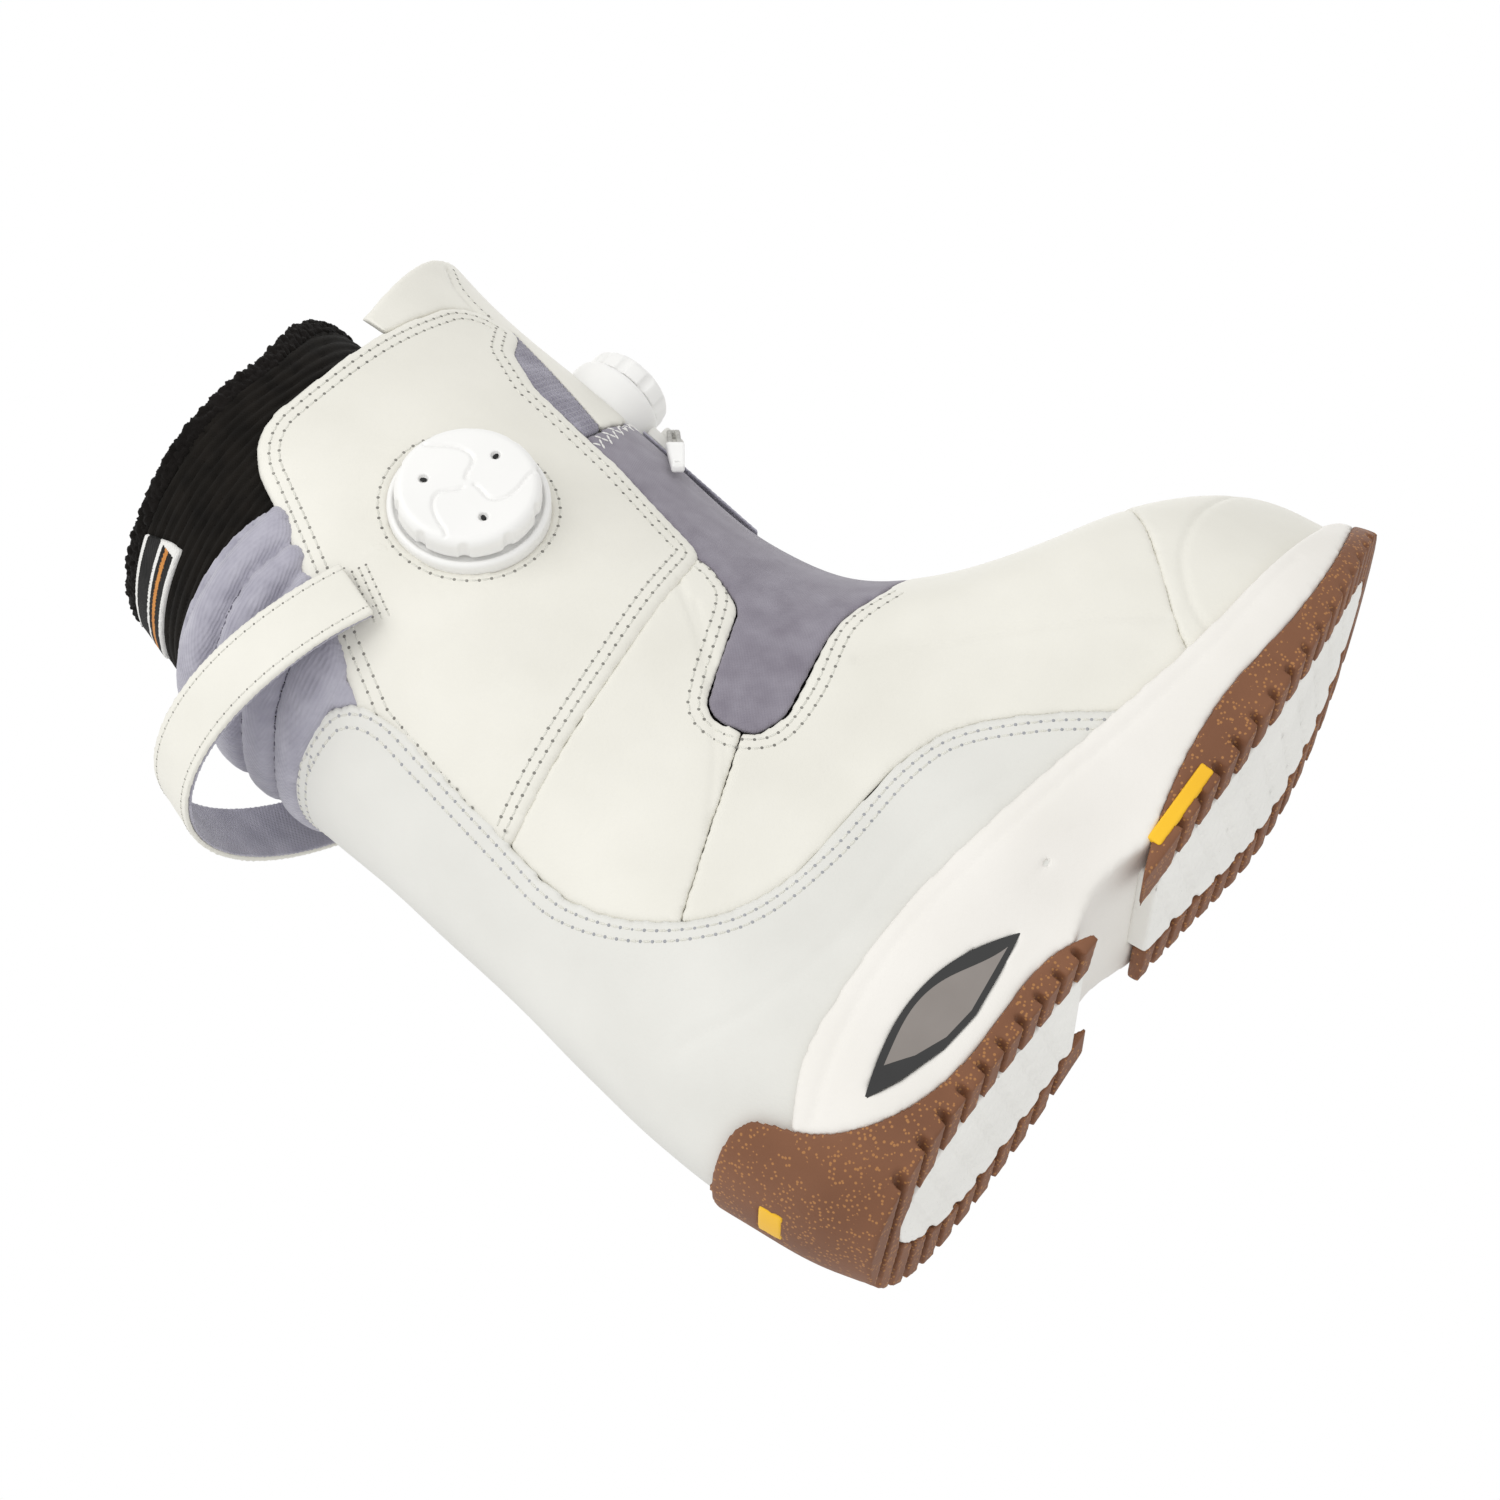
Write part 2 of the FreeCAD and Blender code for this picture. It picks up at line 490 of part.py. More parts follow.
pull_loop = loop_band(0, -LOOP_THICK)
pull_loop_lining = loop_band(-LOOP_THICK, -LOOP_THICK - 0.9)
PATCH_THICK = 0.6
patch_zone = prism(rounded_path([(22, 218, 3), (32, 239, 3), (40, 235, 3), (30, 214, 3)]))
patch_form = upper_form(-PATCH_THICK).cut(upper_form(-0.02)).common(patch_zone)
loop_patch_outer = largest(patch_form.common(outer_half))
loop_patch_inner = largest(patch_form.common(inner_half))

# ---- stiffeners between the upper and the liner -----------------------------------------------------
stiff_form = upper_form(SHELL + 0.05).cut(upper_form(LINER_GAP - 0.5))
heel_counter = largest(stiff_form.common(prism(rounded_path([(-80, 26), (-80, 104), (-6, 104, 12), (24, 60, 20),
                                                             (30, 26)]))))
backstay = largest(stiff_form.common(slab(-80, 2, -24, 24, 106, 262)))
toe_puff = largest(stiff_form.common(slab(200, 300, -90, 90, 26, 120)))
lasting_board = upper_form(SHELL + 0.1).common(slab(-80, 300, -90, 90, SOLE_RISE, SOLE_RISE + 2))

# ---- liner ------------------------------------------------------------------------------------------
liner_outside = upper_form(LINER_GAP, LINER_FRONT)
liner_inside = upper_form(LINER_GAP + LINER, LINER_FRONT)
FOOT_FLOOR = 30.0
liner_wall = liner_outside.cut(liner_inside.common(slab(-80, 300, -90, 90, FOOT_FLOOR, 400)))
COLLAR_LOW = 262.0
liner_boot = largest(liner_wall.common(slab(-80, 300, -90, 90, SOLE_RISE + 2.3, COLLAR_LOW)))
liner_boot = largest(liner_boot.cut(rod((SIDE_DIAL[0], -40, SIDE_DIAL[1]), (0, -1, 0), SIDE_BASE_R, 40).common(
    slab(0, 200, -90, SIDE_FACE_Y + SIDE_DEPTH + 0.2, 180, 260))))
liner_collar = largest(liner_wall.common(slab(-80, 300, -90, 90, COLLAR_LOW, COLLAR_TOP - 5)))
collar_rim = largest(liner_wall.common(slab(-80, 300, -90, 90, COLLAR_TOP - 5, COLLAR_TOP)))
footbed = largest(liner_inside.common(slab(-80, 300, -90, 90, FOOT_FLOOR, FOOT_FLOOR + 5)))
patch_back = upper_form(LINER_GAP - 1.2, LINER_FRONT).cut(liner_outside)
collar_patch = largest(patch_back.common(slab(-40, 12, -33, 8, 291, 305)))

for name, shape in [
        ("heel_panel", largest(heel_panel)), ("cuff_outer", cuff_outer), ("cuff_inner", cuff_inner),
        ("quarter_outer", quarter_outer), ("quarter_inner", quarter_inner), ("vamp", vamp),
        ("toe_cap", largest(toe_cap)), ("gaiter", gaiter), ("tendon_panel", largest(tendon_panel)),
        ("tongue_panel", tongue_panel), ("tongue_board", tongue_board), ("knit_strip", knit_strip),
        ("side_dial_base", side_dial_base), ("side_dial_spool", side_dial_spool),
        ("side_dial_knob", side_dial_knob), ("front_dial_base", front_dial_base),
        ("front_dial_spool", front_dial_spool), ("front_dial_knob", front_dial_knob),
        ("zip_tape", zip_tape), ("zip_teeth", zip_teeth), ("zip_slider", zip_slider),
        ("puller_cord", puller_cord), ("puller_tab", puller_tab), ("pull_loop", pull_loop),
        ("pull_loop_lining", pull_loop_lining), ("loop_patch_outer", loop_patch_outer),
        ("loop_patch_inner", loop_patch_inner), ("heel_counter", heel_counter), ("backstay", backstay),
        ("toe_puff", toe_puff), ("lasting_board", largest(lasting_board)), ("liner_boot", liner_boot),
        ("liner_collar", liner_collar), ("collar_rim", collar_rim), ("footbed", footbed),
        ("collar_patch", collar_patch)]:
    save(name, shape)
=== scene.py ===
import json
import math
import random

import bmesh
import bpy
from mathutils import Matrix, Vector, noise
from mathutils.bvhtree import BVHTree
from mathutils.kdtree import KDTree


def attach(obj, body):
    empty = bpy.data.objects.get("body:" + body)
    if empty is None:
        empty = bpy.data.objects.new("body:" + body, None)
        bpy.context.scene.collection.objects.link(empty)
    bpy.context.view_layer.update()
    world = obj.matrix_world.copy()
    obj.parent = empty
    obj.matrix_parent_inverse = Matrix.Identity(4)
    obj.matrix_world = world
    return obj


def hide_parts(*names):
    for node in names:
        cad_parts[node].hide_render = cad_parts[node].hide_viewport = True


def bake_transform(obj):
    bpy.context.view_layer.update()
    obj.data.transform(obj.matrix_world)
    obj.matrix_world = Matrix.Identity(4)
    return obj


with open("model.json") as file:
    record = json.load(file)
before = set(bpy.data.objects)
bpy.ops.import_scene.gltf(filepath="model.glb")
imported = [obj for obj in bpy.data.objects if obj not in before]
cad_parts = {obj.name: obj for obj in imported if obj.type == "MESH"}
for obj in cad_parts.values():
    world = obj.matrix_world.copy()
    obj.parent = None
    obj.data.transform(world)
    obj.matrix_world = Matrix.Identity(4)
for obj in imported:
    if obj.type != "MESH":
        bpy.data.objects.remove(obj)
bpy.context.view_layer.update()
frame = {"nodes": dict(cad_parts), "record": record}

# A soft snowboard boot: leather panels over a stretch gaiter and a ribbed liner, on a foam midsole
# with a gum-rubber tread. Metres; X points to the toe, -Y is the outer side, Z is up.
MM = 0.001
BODY_OF = {node: body for body, nodes in frame["record"]["behaviour"]["bodies"].items() for node in nodes}
SLOT_OF = {row["node"]: row["material_slot"] for row in frame["record"]["subparts"]}
OUTER = -1
INNER = 1
random.seed(7)


# ---- view, light and floor ------------------------------------------------------
VIEW_AZIMUTH = math.radians(-28.0)
VIEW_ELEVATION = math.radians(-18.7)
VIEW_ROLL = math.radians(57.4)
VIEW_DISTANCE = 1.25
VIEW_CENTRE = Vector((0.1025, 0, 0.130))
VIEW_OFFSET = (0.01507, 0.01851)
VIEW_SCALE = 3350.0          # of the view's 1500 across, per metre at the boot's middle
VIEW_WIDTH = 1500
SENSOR = 36.0


def set_view():
    across = Vector((math.cos(VIEW_AZIMUTH), math.sin(VIEW_AZIMUTH), 0))
    back = Vector((math.sin(VIEW_AZIMUTH) * math.cos(VIEW_ELEVATION),
                   -math.cos(VIEW_AZIMUTH) * math.cos(VIEW_ELEVATION), math.sin(VIEW_ELEVATION)))
    upward = back.cross(across)
    right = across * math.cos(VIEW_ROLL) - upward * math.sin(VIEW_ROLL)
    up = across * math.sin(VIEW_ROLL) + upward * math.cos(VIEW_ROLL)
    data = bpy.data.cameras.new("view")
    data.sensor_width = SENSOR
    data.lens = VIEW_SCALE * VIEW_DISTANCE / VIEW_WIDTH * SENSOR
    data.clip_start = 0.01
    data.clip_end = 50
    camera = bpy.data.objects.new("view", data)
    bpy.context.scene.collection.objects.link(camera)
    place = Matrix((right, up, back)).transposed().to_4x4()
    place.translation = VIEW_CENTRE + back * VIEW_DISTANCE - right * VIEW_OFFSET[0] - up * VIEW_OFFSET[1]
    camera.matrix_world = place
    bpy.context.scene.camera = camera


def soft_light(name, place, aim, size, power):
    data = bpy.data.lights.new(name, 'AREA')
    data.size = size
    data.energy = power
    lamp = bpy.data.objects.new(name, data)
    bpy.context.scene.collection.objects.link(lamp)
    turn = (Vector(aim) - Vector(place)).to_track_quat('-Z', 'Y').to_matrix().to_4x4()
    lamp.matrix_world = Matrix.Translation(place) @ turn


def set_stage():
    """White studio: a pale floor that shows only from above, and soft light all round."""
    world = bpy.data.worlds.new("studio")
    world.use_nodes = True
    backdrop = world.node_tree.nodes["Background"]
    backdrop.inputs["Color"].default_value = (1, 1, 1, 1)
    backdrop.inputs["Strength"].default_value = 0.80
    path = world.node_tree.nodes.new("ShaderNodeLightPath")
    seen = world.node_tree.nodes.new("ShaderNodeBackground")
    seen.inputs["Color"].default_value = (1, 1, 1, 1)
    seen.inputs["Strength"].default_value = 1.0
    mix = world.node_tree.nodes.new("ShaderNodeMixShader")
    world.node_tree.links.new(path.outputs["Is Camera Ray"], mix.inputs[0])
    world.node_tree.links.new(backdrop.outputs[0], mix.inputs[1])
    world.node_tree.links.new(seen.outputs[0], mix.inputs[2])
    world.node_tree.links.new(mix.outputs[0], world.node_tree.nodes["World Output"].inputs[0])
    bpy.context.scene.world = world

    form = bmesh.new()
    bmesh.ops.create_grid(form, x_segments=1, y_segments=1, size=8.0)
    mesh = bpy.data.meshes.new("floor")
    form.to_mesh(mesh)
    form.free()
    floor = bpy.data.objects.new("floor", mesh)
    bpy.context.scene.collection.objects.link(floor)
    stuff = bpy.data.materials.new("floor")
    stuff.use_nodes = True
    nodes, links = stuff.node_tree.nodes, stuff.node_tree.links
    shader = nodes["Principled BSDF"]
    shader.inputs["Base Color"].default_value = (0.86, 0.86, 0.85, 1)
    shader.inputs["Roughness"].default_value = 0.75
    clear = nodes.new("ShaderNodeBsdfTransparent")
    face = nodes.new("ShaderNodeNewGeometry")
    path = nodes.new("ShaderNodeLightPath")
    front = nodes.new("ShaderNodeMath")
    front.operation = 'SUBTRACT'
    front.inputs[0].default_value = 1.0
    links.new(face.outputs["Backfacing"], front.inputs[1])
    both = nodes.new("ShaderNodeMath")
    both.operation = 'MULTIPLY'
    links.new(front.outputs[0], both.inputs[0])
    links.new(path.outputs["Is Camera Ray"], both.inputs[1])
    mix = nodes.new("ShaderNodeMixShader")
    links.new(both.outputs[0], mix.inputs[0])
    links.new(clear.outputs[0], mix.inputs[1])
    links.new(shader.outputs[0], mix.inputs[2])
    links.new(mix.outputs[0], nodes["Material Output"].inputs["Surface"])
    mesh.materials.append(stuff)
    middle = (0.10, 0, 0.15)
    soft_light("key", (-0.5, -1.3, 1.2), middle, 1.2, 10)
    soft_light("fill", (1.2, 0.9, 0.9), middle, 1.4, 5)
    soft_light("rim", (-1.1, 1.0, 0.9), middle, 1.0, 4)
    soft_light("low", (-0.4, -1.3, -0.7), middle, 1.2, 3.2)
    bpy.context.scene.view_settings.view_transform = 'Standard'


# ---- shared effects ------------------------------------------------------
def new_group(name, inputs, outputs):
    group = bpy.data.node_groups.new(name, 'ShaderNodeTree')
    for label, kind, value in inputs:
        socket = group.interface.new_socket(name=label, in_out='INPUT', socket_type=kind)
        socket.default_value = value
    for label, kind in outputs:
        group.interface.new_socket(name=label, in_out='OUTPUT', socket_type=kind)
    enter = group.nodes.new("NodeGroupInput")
    leave = group.nodes.new("NodeGroupOutput")
    return group, enter, leave


def add(tree, kind, **settings):
    node = tree.nodes.new(kind)
    for key, value in settings.items():
        setattr(node, key, value)
    return node


def build_grain_group():
    """Pebbled grain of leather or moulded rubber: cells of a size, broken up by fine noise."""
    group, enter, leave = new_group(
        "grain", [("Scale", 'NodeSocketFloat', 700.0), ("Fine", 'NodeSocketFloat', 0.35)],
        [("Height", 'NodeSocketFloat'), ("Mottle", 'NodeSocketFloat')])
    place = add(group, "ShaderNodeTexCoord")
    cells = add(group, "ShaderNodeTexVoronoi", feature='SMOOTH_F1')
    fine = add(group, "ShaderNodeTexNoise")
    fine.inputs["Detail"].default_value = 4
    broad = add(group, "ShaderNodeTexNoise")
    broad.inputs["Scale"].default_value = 26
    broad.inputs["Detail"].default_value = 5
    twice = add(group, "ShaderNodeMath", operation='MULTIPLY')
    twice.inputs[1].default_value = 2.3
    mix = add(group, "ShaderNodeMix", data_type='FLOAT')
    links = group.links
    for node in (cells, fine, broad):
        links.new(place.outputs["Object"], node.inputs["Vector"])
    links.new(enter.outputs["Scale"], cells.inputs["Scale"])
    links.new(enter.outputs["Scale"], twice.inputs[0])
    links.new(twice.outputs[0], fine.inputs["Scale"])
    links.new(enter.outputs["Fine"], mix.inputs[0])
    links.new(cells.outputs["Distance"], mix.inputs[2])
    links.new(fine.outputs[0], mix.inputs[3])
    links.new(mix.outputs[0], leave.inputs["Height"])
    links.new(broad.outputs[0], leave.inputs["Mottle"])
    return group


def build_weave_group():
    """Crossed threads on three axes, for fabric that turns round the boot."""
    group, enter, leave = new_group(
        "weave", [("Threads", 'NodeSocketFloat', 1500.0), ("Stretch", 'NodeSocketFloat', 1.0)],
        [("Height", 'NodeSocketFloat'), ("Mottle", 'NodeSocketFloat')])
    place = add(group, "ShaderNodeTexCoord")
    links = group.links
    split = add(group, "ShaderNodeSeparateXYZ")
    links.new(place.outputs["Object"], split.inputs[0])
    flat = add(group, "ShaderNodeMath", operation='ADD')
    links.new(split.outputs[0], flat.inputs[0])
    links.new(split.outputs[1], flat.inputs[1])
    waves = []
    for source in (flat.outputs[0], split.outputs[2]):
        turn = add(group, "ShaderNodeMath", operation='MULTIPLY')
        links.new(source, turn.inputs[0])
        links.new(enter.outputs["Threads"], turn.inputs[1])
        wave = add(group, "ShaderNodeMath", operation='SINE')
        links.new(turn.outputs[0], wave.inputs[0])
        waves.append(wave)
    cross = add(group, "ShaderNodeMath", operation='MULTIPLY')
    links.new(waves[0].outputs[0], cross.inputs[0])
    links.new(waves[1].outputs[0], cross.inputs[1])
    links.new(cross.outputs[0], leave.inputs["Height"])
    broad = add(group, "ShaderNodeTexNoise")
    broad.inputs["Scale"].default_value = 130
    broad.inputs["Detail"].default_value = 6
    links.new(place.outputs["Object"], broad.inputs["Vector"])
    links.new(broad.outputs[0], leave.inputs["Mottle"])
    return group


GRAIN = build_grain_group()
WEAVE = build_weave_group()


def blend_colours(tree, factor, dark, light, low=0.0, high=1.0):
    ramp = add(tree, "ShaderNodeValToRGB")
    ramp.color_ramp.elements[0].position = low
    ramp.color_ramp.elements[0].color = (*dark, 1)
    ramp.color_ramp.elements[1].position = high
    ramp.color_ramp.elements[1].color = (*light, 1)
    tree.links.new(factor, ramp.inputs[0])
    return ramp.outputs[0]


def surface(name, dark, light, group, settings, roughness, bump, sheen=0.0, specular=0.5, coat=0.0):
    """A finish from one of the shared effects: mottled colour, varied roughness and relief."""
    stuff = bpy.data.materials.new(name)
    stuff.use_nodes = True
    tree = stuff.node_tree
    shader = tree.nodes["Principled BSDF"]
    effect = add(tree, "ShaderNodeGroup", node_tree=group)
    for key, value in settings.items():
        effect.inputs[key].default_value = value
    tree.links.new(blend_colours(tree, effect.outputs["Mottle"], dark, light, 0.3, 0.7),
                   shader.inputs["Base Color"])
    spread = add(tree, "ShaderNodeMapRange")
    spread.inputs["To Min"].default_value = roughness - 0.08
    spread.inputs["To Max"].default_value = roughness + 0.08
    tree.links.new(effect.outputs["Mottle"], spread.inputs["Value"])
    tree.links.new(spread.outputs[0], shader.inputs["Roughness"])
    relief = add(tree, "ShaderNodeBump")
    relief.inputs["Strength"].default_value = bump
    relief.inputs["Distance"].default_value = 0.0004
    tree.links.new(effect.outputs["Height"], relief.inputs["Height"])
    tree.links.new(relief.outputs[0], shader.inputs["Normal"])
    shader.inputs["Specular IOR Level"].default_value = specular
    shader.inputs["Sheen Weight"].default_value = sheen
    shader.inputs["Coat Weight"].default_value = coat
    return stuff


def flecked_rubber():
    """Gum rubber with pale orange crumbs of recycled rubber in it."""
    stuff = surface("gum_rubber", (0.175, 0.070, 0.032), (0.235, 0.100, 0.048), GRAIN,
                    {"Scale": 900.0, "Fine": 0.6}, 0.62, 0.35, specular=0.35)
    tree = stuff.node_tree
    shader = tree.nodes["Principled BSDF"]
    base = shader.inputs["Base Color"].links[0].from_socket
    place = add(tree, "ShaderNodeTexCoord")
    crumbs = add(tree, "ShaderNodeTexVoronoi", feature='F1')
    crumbs.inputs["Scale"].default_value = 720
    crumbs.inputs["Randomness"].default_value = 1.0
    patches = add(tree, "ShaderNodeTexNoise")
    patches.inputs["Scale"].default_value = 150
    tree.links.new(place.outputs["Object"], crumbs.inputs["Vector"])
    tree.links.new(place.outputs["Object"], patches.inputs["Vector"])
    spot = add(tree, "ShaderNodeMath", operation='LESS_THAN')
    spot.inputs[1].default_value = 0.30
    tree.links.new(crumbs.outputs["Distance"], spot.inputs[0])
    some = add(tree, "ShaderNodeMath", operation='GREATER_THAN')
    some.inputs[1].default_value = 0.43
    tree.links.new(patches.outputs[0], some.inputs[0])
    both = add(tree, "ShaderNodeMath", operation='MULTIPLY')
    tree.links.new(spot.outputs[0], both.inputs[0])
    tree.links.new(some.outputs[0], both.inputs[1])
    mix = add(tree, "ShaderNodeMix", data_type='RGBA')
    tree.links.new(both.outputs[0], mix.inputs[0])
    tree.links.new(base, mix.inputs[6])
    mix.inputs[7].default_value = (0.40, 0.18, 0.060, 1)
    tree.links.new(mix.outputs[2], shader.inputs["Base Color"])
    return stuff


MATERIALS = {
    "gum_rubber": flecked_rubber(),
    "white_rubber": surface("white_rubber", (0.84, 0.83, 0.79), (0.90, 0.89, 0.85), GRAIN,
                            {"Scale": 800.0, "Fine": 0.6}, 0.6, 0.25),
    "yellow_inlay": surface("yellow_inlay", (0.86, 0.47, 0.005), (0.95, 0.56, 0.01), GRAIN,
                            {"Scale": 900.0, "Fine": 0.5}, 0.5, 0.15),
    "midsole_foam": surface("midsole_foam", (0.80, 0.775, 0.725), (0.85, 0.825, 0.78), GRAIN,
                            {"Scale": 1100.0, "Fine": 0.5}, 0.58, 0.16, specular=0.4),
    "window_trim": surface("window_trim", (0.010, 0.010, 0.010), (0.02, 0.02, 0.02), GRAIN,
                           {"Scale": 300.0, "Fine": 0.5}, 0.22, 0.05, coat=0.4),
    "window_lens": surface("window_lens", (0.20, 0.175, 0.155), (0.27, 0.24, 0.22), GRAIN,
                           {"Scale": 250.0, "Fine": 0.5}, 0.18, 0.05, coat=0.5),
    "shank_plastic": surface("shank_plastic", (0.03, 0.03, 0.03), (0.05, 0.05, 0.05), GRAIN,
                             {"Scale": 700.0, "Fine": 0.5}, 0.5, 0.2),
    "board": surface("board", (0.36, 0.29, 0.20), (0.48, 0.40, 0.30), GRAIN,
                     {"Scale": 300.0, "Fine": 0.8}, 0.8, 0.4),
    "leather": surface("leather", (0.755, 0.738, 0.668), (0.815, 0.798, 0.728), GRAIN,
                       {"Scale": 950.0, "Fine": 0.45}, 0.52, 0.20, specular=0.35),
    "heel_leather": surface("heel_leather", (0.700, 0.694, 0.652), (0.755, 0.749, 0.707), GRAIN,
                            {"Scale": 950.0, "Fine": 0.45}, 0.52, 0.18, specular=0.35),
    "stretch_fabric": surface("stretch_fabric", (0.215, 0.195, 0.235), (0.285, 0.265, 0.310), WEAVE,
                              {"Threads": 5200.0}, 0.75, 0.25, sheen=0.25, specular=0.2),
    "lavender_fabric": surface("lavender_fabric", (0.345, 0.335, 0.400), (0.455, 0.445, 0.510), WEAVE,
                               {"Threads": 3600.0}, 0.8, 0.3, sheen=0.4, specular=0.2),
    "knit": surface("knit", (0.255, 0.240, 0.300), (0.40, 0.385, 0.455), WEAVE,
                    {"Threads": 2600.0}, 0.85, 0.8, sheen=0.3, specular=0.2),
    "white_plastic": surface("white_plastic", (0.85, 0.845, 0.825), (0.89, 0.885, 0.865), GRAIN,
                             {"Scale": 1400.0, "Fine": 0.7}, 0.42, 0.06),
    "drive_plastic": surface("drive_plastic", (0.5, 0.5, 0.5), (0.58, 0.58, 0.57), GRAIN,
                             {"Scale": 1000.0, "Fine": 0.5}, 0.45, 0.1),
    "zip_metal": surface("zip_metal", (0.72, 0.71, 0.67), (0.80, 0.79, 0.75), GRAIN,
                         {"Scale": 1200.0, "Fine": 0.5}, 0.38, 0.1),
    "cord": surface("cord", (0.66, 0.65, 0.61), (0.80, 0.79, 0.75), WEAVE,
                    {"Threads": 7500.0}, 0.7, 0.8, specular=0.3),
    "liner_foam": surface("liner_foam", (0.018, 0.017, 0.017), (0.034, 0.032, 0.031), WEAVE,
                          {"Threads": 2200.0}, 0.9, 0.5, sheen=0.25, specular=0.15),
    "corduroy": surface("corduroy", (0.0055, 0.0048, 0.004), (0.013, 0.011, 0.009), WEAVE,
                        {"Threads": 6400.0}, 0.92, 0.15, sheen=0.03, specular=0.10),
    "fleece": surface("fleece", (0.0055, 0.0048, 0.0042), (0.013, 0.011, 0.010), GRAIN,
                      {"Scale": 500.0, "Fine": 0.8}, 0.95, 0.8, sheen=0.05, specular=0.06),
    "patch": surface("patch", (0.012, 0.012, 0.012), (0.028, 0.027, 0.026), WEAVE,
                     {"Threads": 5200.0}, 0.8, 0.5, specular=0.2),
    "stiffener": surface("stiffener", (0.66, 0.66, 0.63), (0.74, 0.74, 0.71), GRAIN,
                         {"Scale": 700.0, "Fine": 0.4}, 0.6, 0.15),
    "insole_foam": surface("insole_foam", (0.15, 0.14, 0.18), (0.22, 0.21, 0.26), WEAVE,
                           {"Threads": 2600.0}, 0.9, 0.5, sheen=0.2, specular=0.15),
    "thread": surface("thread", (0.70, 0.69, 0.62), (0.82, 0.81, 0.74), WEAVE,
                      {"Threads": 9000.0}, 0.7, 0.4),
    # Needle-hole discs: a dark colour of painted shade that stands in for the depth of each hole
    "needle_hole_shade": surface("needle_hole_shade", (0.17, 0.165, 0.15), (0.34, 0.33, 0.30), GRAIN,
                           {"Scale": 900.0, "Fine": 0.5}, 0.9, 0.1, specular=0.1),
    # Needle-hole discs on the heel leather: a bluish grey of painted shade for the holes
    "pale_hole_shade": surface("pale_hole_shade", (0.30, 0.31, 0.33), (0.46, 0.46, 0.48), GRAIN,
                         {"Scale": 900.0, "Fine": 0.5}, 0.9, 0.1, specular=0.1),
    # Near-black discs for holes in the quilt stitching and the dial knobs: painted shade
    "dark_hole_shade": surface("dark_hole_shade", (0.012, 0.012, 0.012), (0.03, 0.03, 0.03), GRAIN,
                         {"Scale": 900.0, "Fine": 0.5}, 0.7, 0.1, specular=0.2),
    "grey_thread": surface("grey_thread", (0.10, 0.095, 0.13), (0.17, 0.16, 0.21), WEAVE,
                           {"Threads": 9000.0}, 0.7, 0.4),
    "white_thread": surface("white_thread", (0.80, 0.79, 0.76), (0.88, 0.87, 0.84), WEAVE,
                            {"Threads": 9000.0}, 0.7, 0.4),
    "orange_thread": surface("orange_thread", (0.55, 0.20, 0.03), (0.68, 0.28, 0.05), WEAVE,
                             {"Threads": 9000.0}, 0.7, 0.4),
}


# ---- mesh tools ------------------------------------------------------
def node_form(*nodes):
    """The CAD solids of these nodes as one merged bmesh."""
    form = bmesh.new()
    for node in nodes:
        form.from_mesh(frame["nodes"][node].data)
    bmesh.ops.remove_doubles(form, verts=form.verts, dist=0.02 * MM)
    return form


def even_skin(form, cell, rounds):
    """Rebuild a form as an even skin of small faces, and soften it."""
    mesh = bpy.data.meshes.new("raw")
    form.to_mesh(mesh)
    form.free()
    holder = bpy.data.objects.new("raw", mesh)
    bpy.context.scene.collection.objects.link(holder)
    even = holder.modifiers.new("even", 'REMESH')
    even.mode = 'VOXEL'
    even.voxel_size = cell
    even.adaptivity = 0
    ready = holder.evaluated_get(bpy.context.evaluated_depsgraph_get())
    result = bpy.data.meshes.new_from_object(ready)
    bpy.data.objects.remove(holder)
    bpy.data.meshes.remove(mesh)
    form = bmesh.new()
    form.from_mesh(result)
    bpy.data.meshes.remove(result)
    soften(form, rounds)
    return form


def soften(form, rounds):
    for _ in range(rounds):
        bmesh.ops.smooth_vert(form, verts=form.verts, factor=0.5, use_axis_x=True, use_axis_y=True,
                              use_axis_z=True)
    form.normal_update()


def swell(form, amount):
    """Move every point outwards by an amount, a number or a function of (place, normal)."""
    form.normal_update()
    shifts = []
    for vert in form.verts:
        far = amount(vert.co, vert.normal) if callable(amount) else amount
        shifts.append(vert.normal * far)
    for vert, shift in zip(form.verts, shifts):
        vert.co += shift
    form.normal_update()


def press_lines(form, lines, depth, width):
    """Sink (or raise, with a negative depth) soft channels of a half width along lines of places."""
    places = [place for line in lines for place in line]
    tree = KDTree(len(places))
    for i, place in enumerate(places):
        tree.insert(place, i)
    tree.balance()

    def far(place, normal):
        gap = tree.find(place)[2]
        return -depth * math.exp(-(gap / width) ** 2) if gap < 3 * width else 0.0
    swell(form, far)


def set_faces(form):
    for face in form.faces:
        face.smooth = True
        face.material_index = 0


def piece(form, name, body, materials, nodes=()):
    """Turn a form into a finished piece that rides on a body and may replace CAD nodes."""
    mesh = bpy.data.meshes.new(name)
    form.to_mesh(mesh)
    form.free()
    made = bpy.data.objects.new(name, mesh)
    bpy.context.scene.collection.objects.link(made)
    for material in materials:
        mesh.materials.append(MATERIALS[material])
    if nodes:
        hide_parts(*nodes)
    if body:
        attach(made, body)
    return made


def tree_of(*objects):
    """One ray-casting tree over the meshes of several pieces."""
    form = bmesh.new()
    for made in objects:
        form.from_mesh(made.data)
    tree = BVHTree.FromBMesh(form)
    form.free()
    return tree


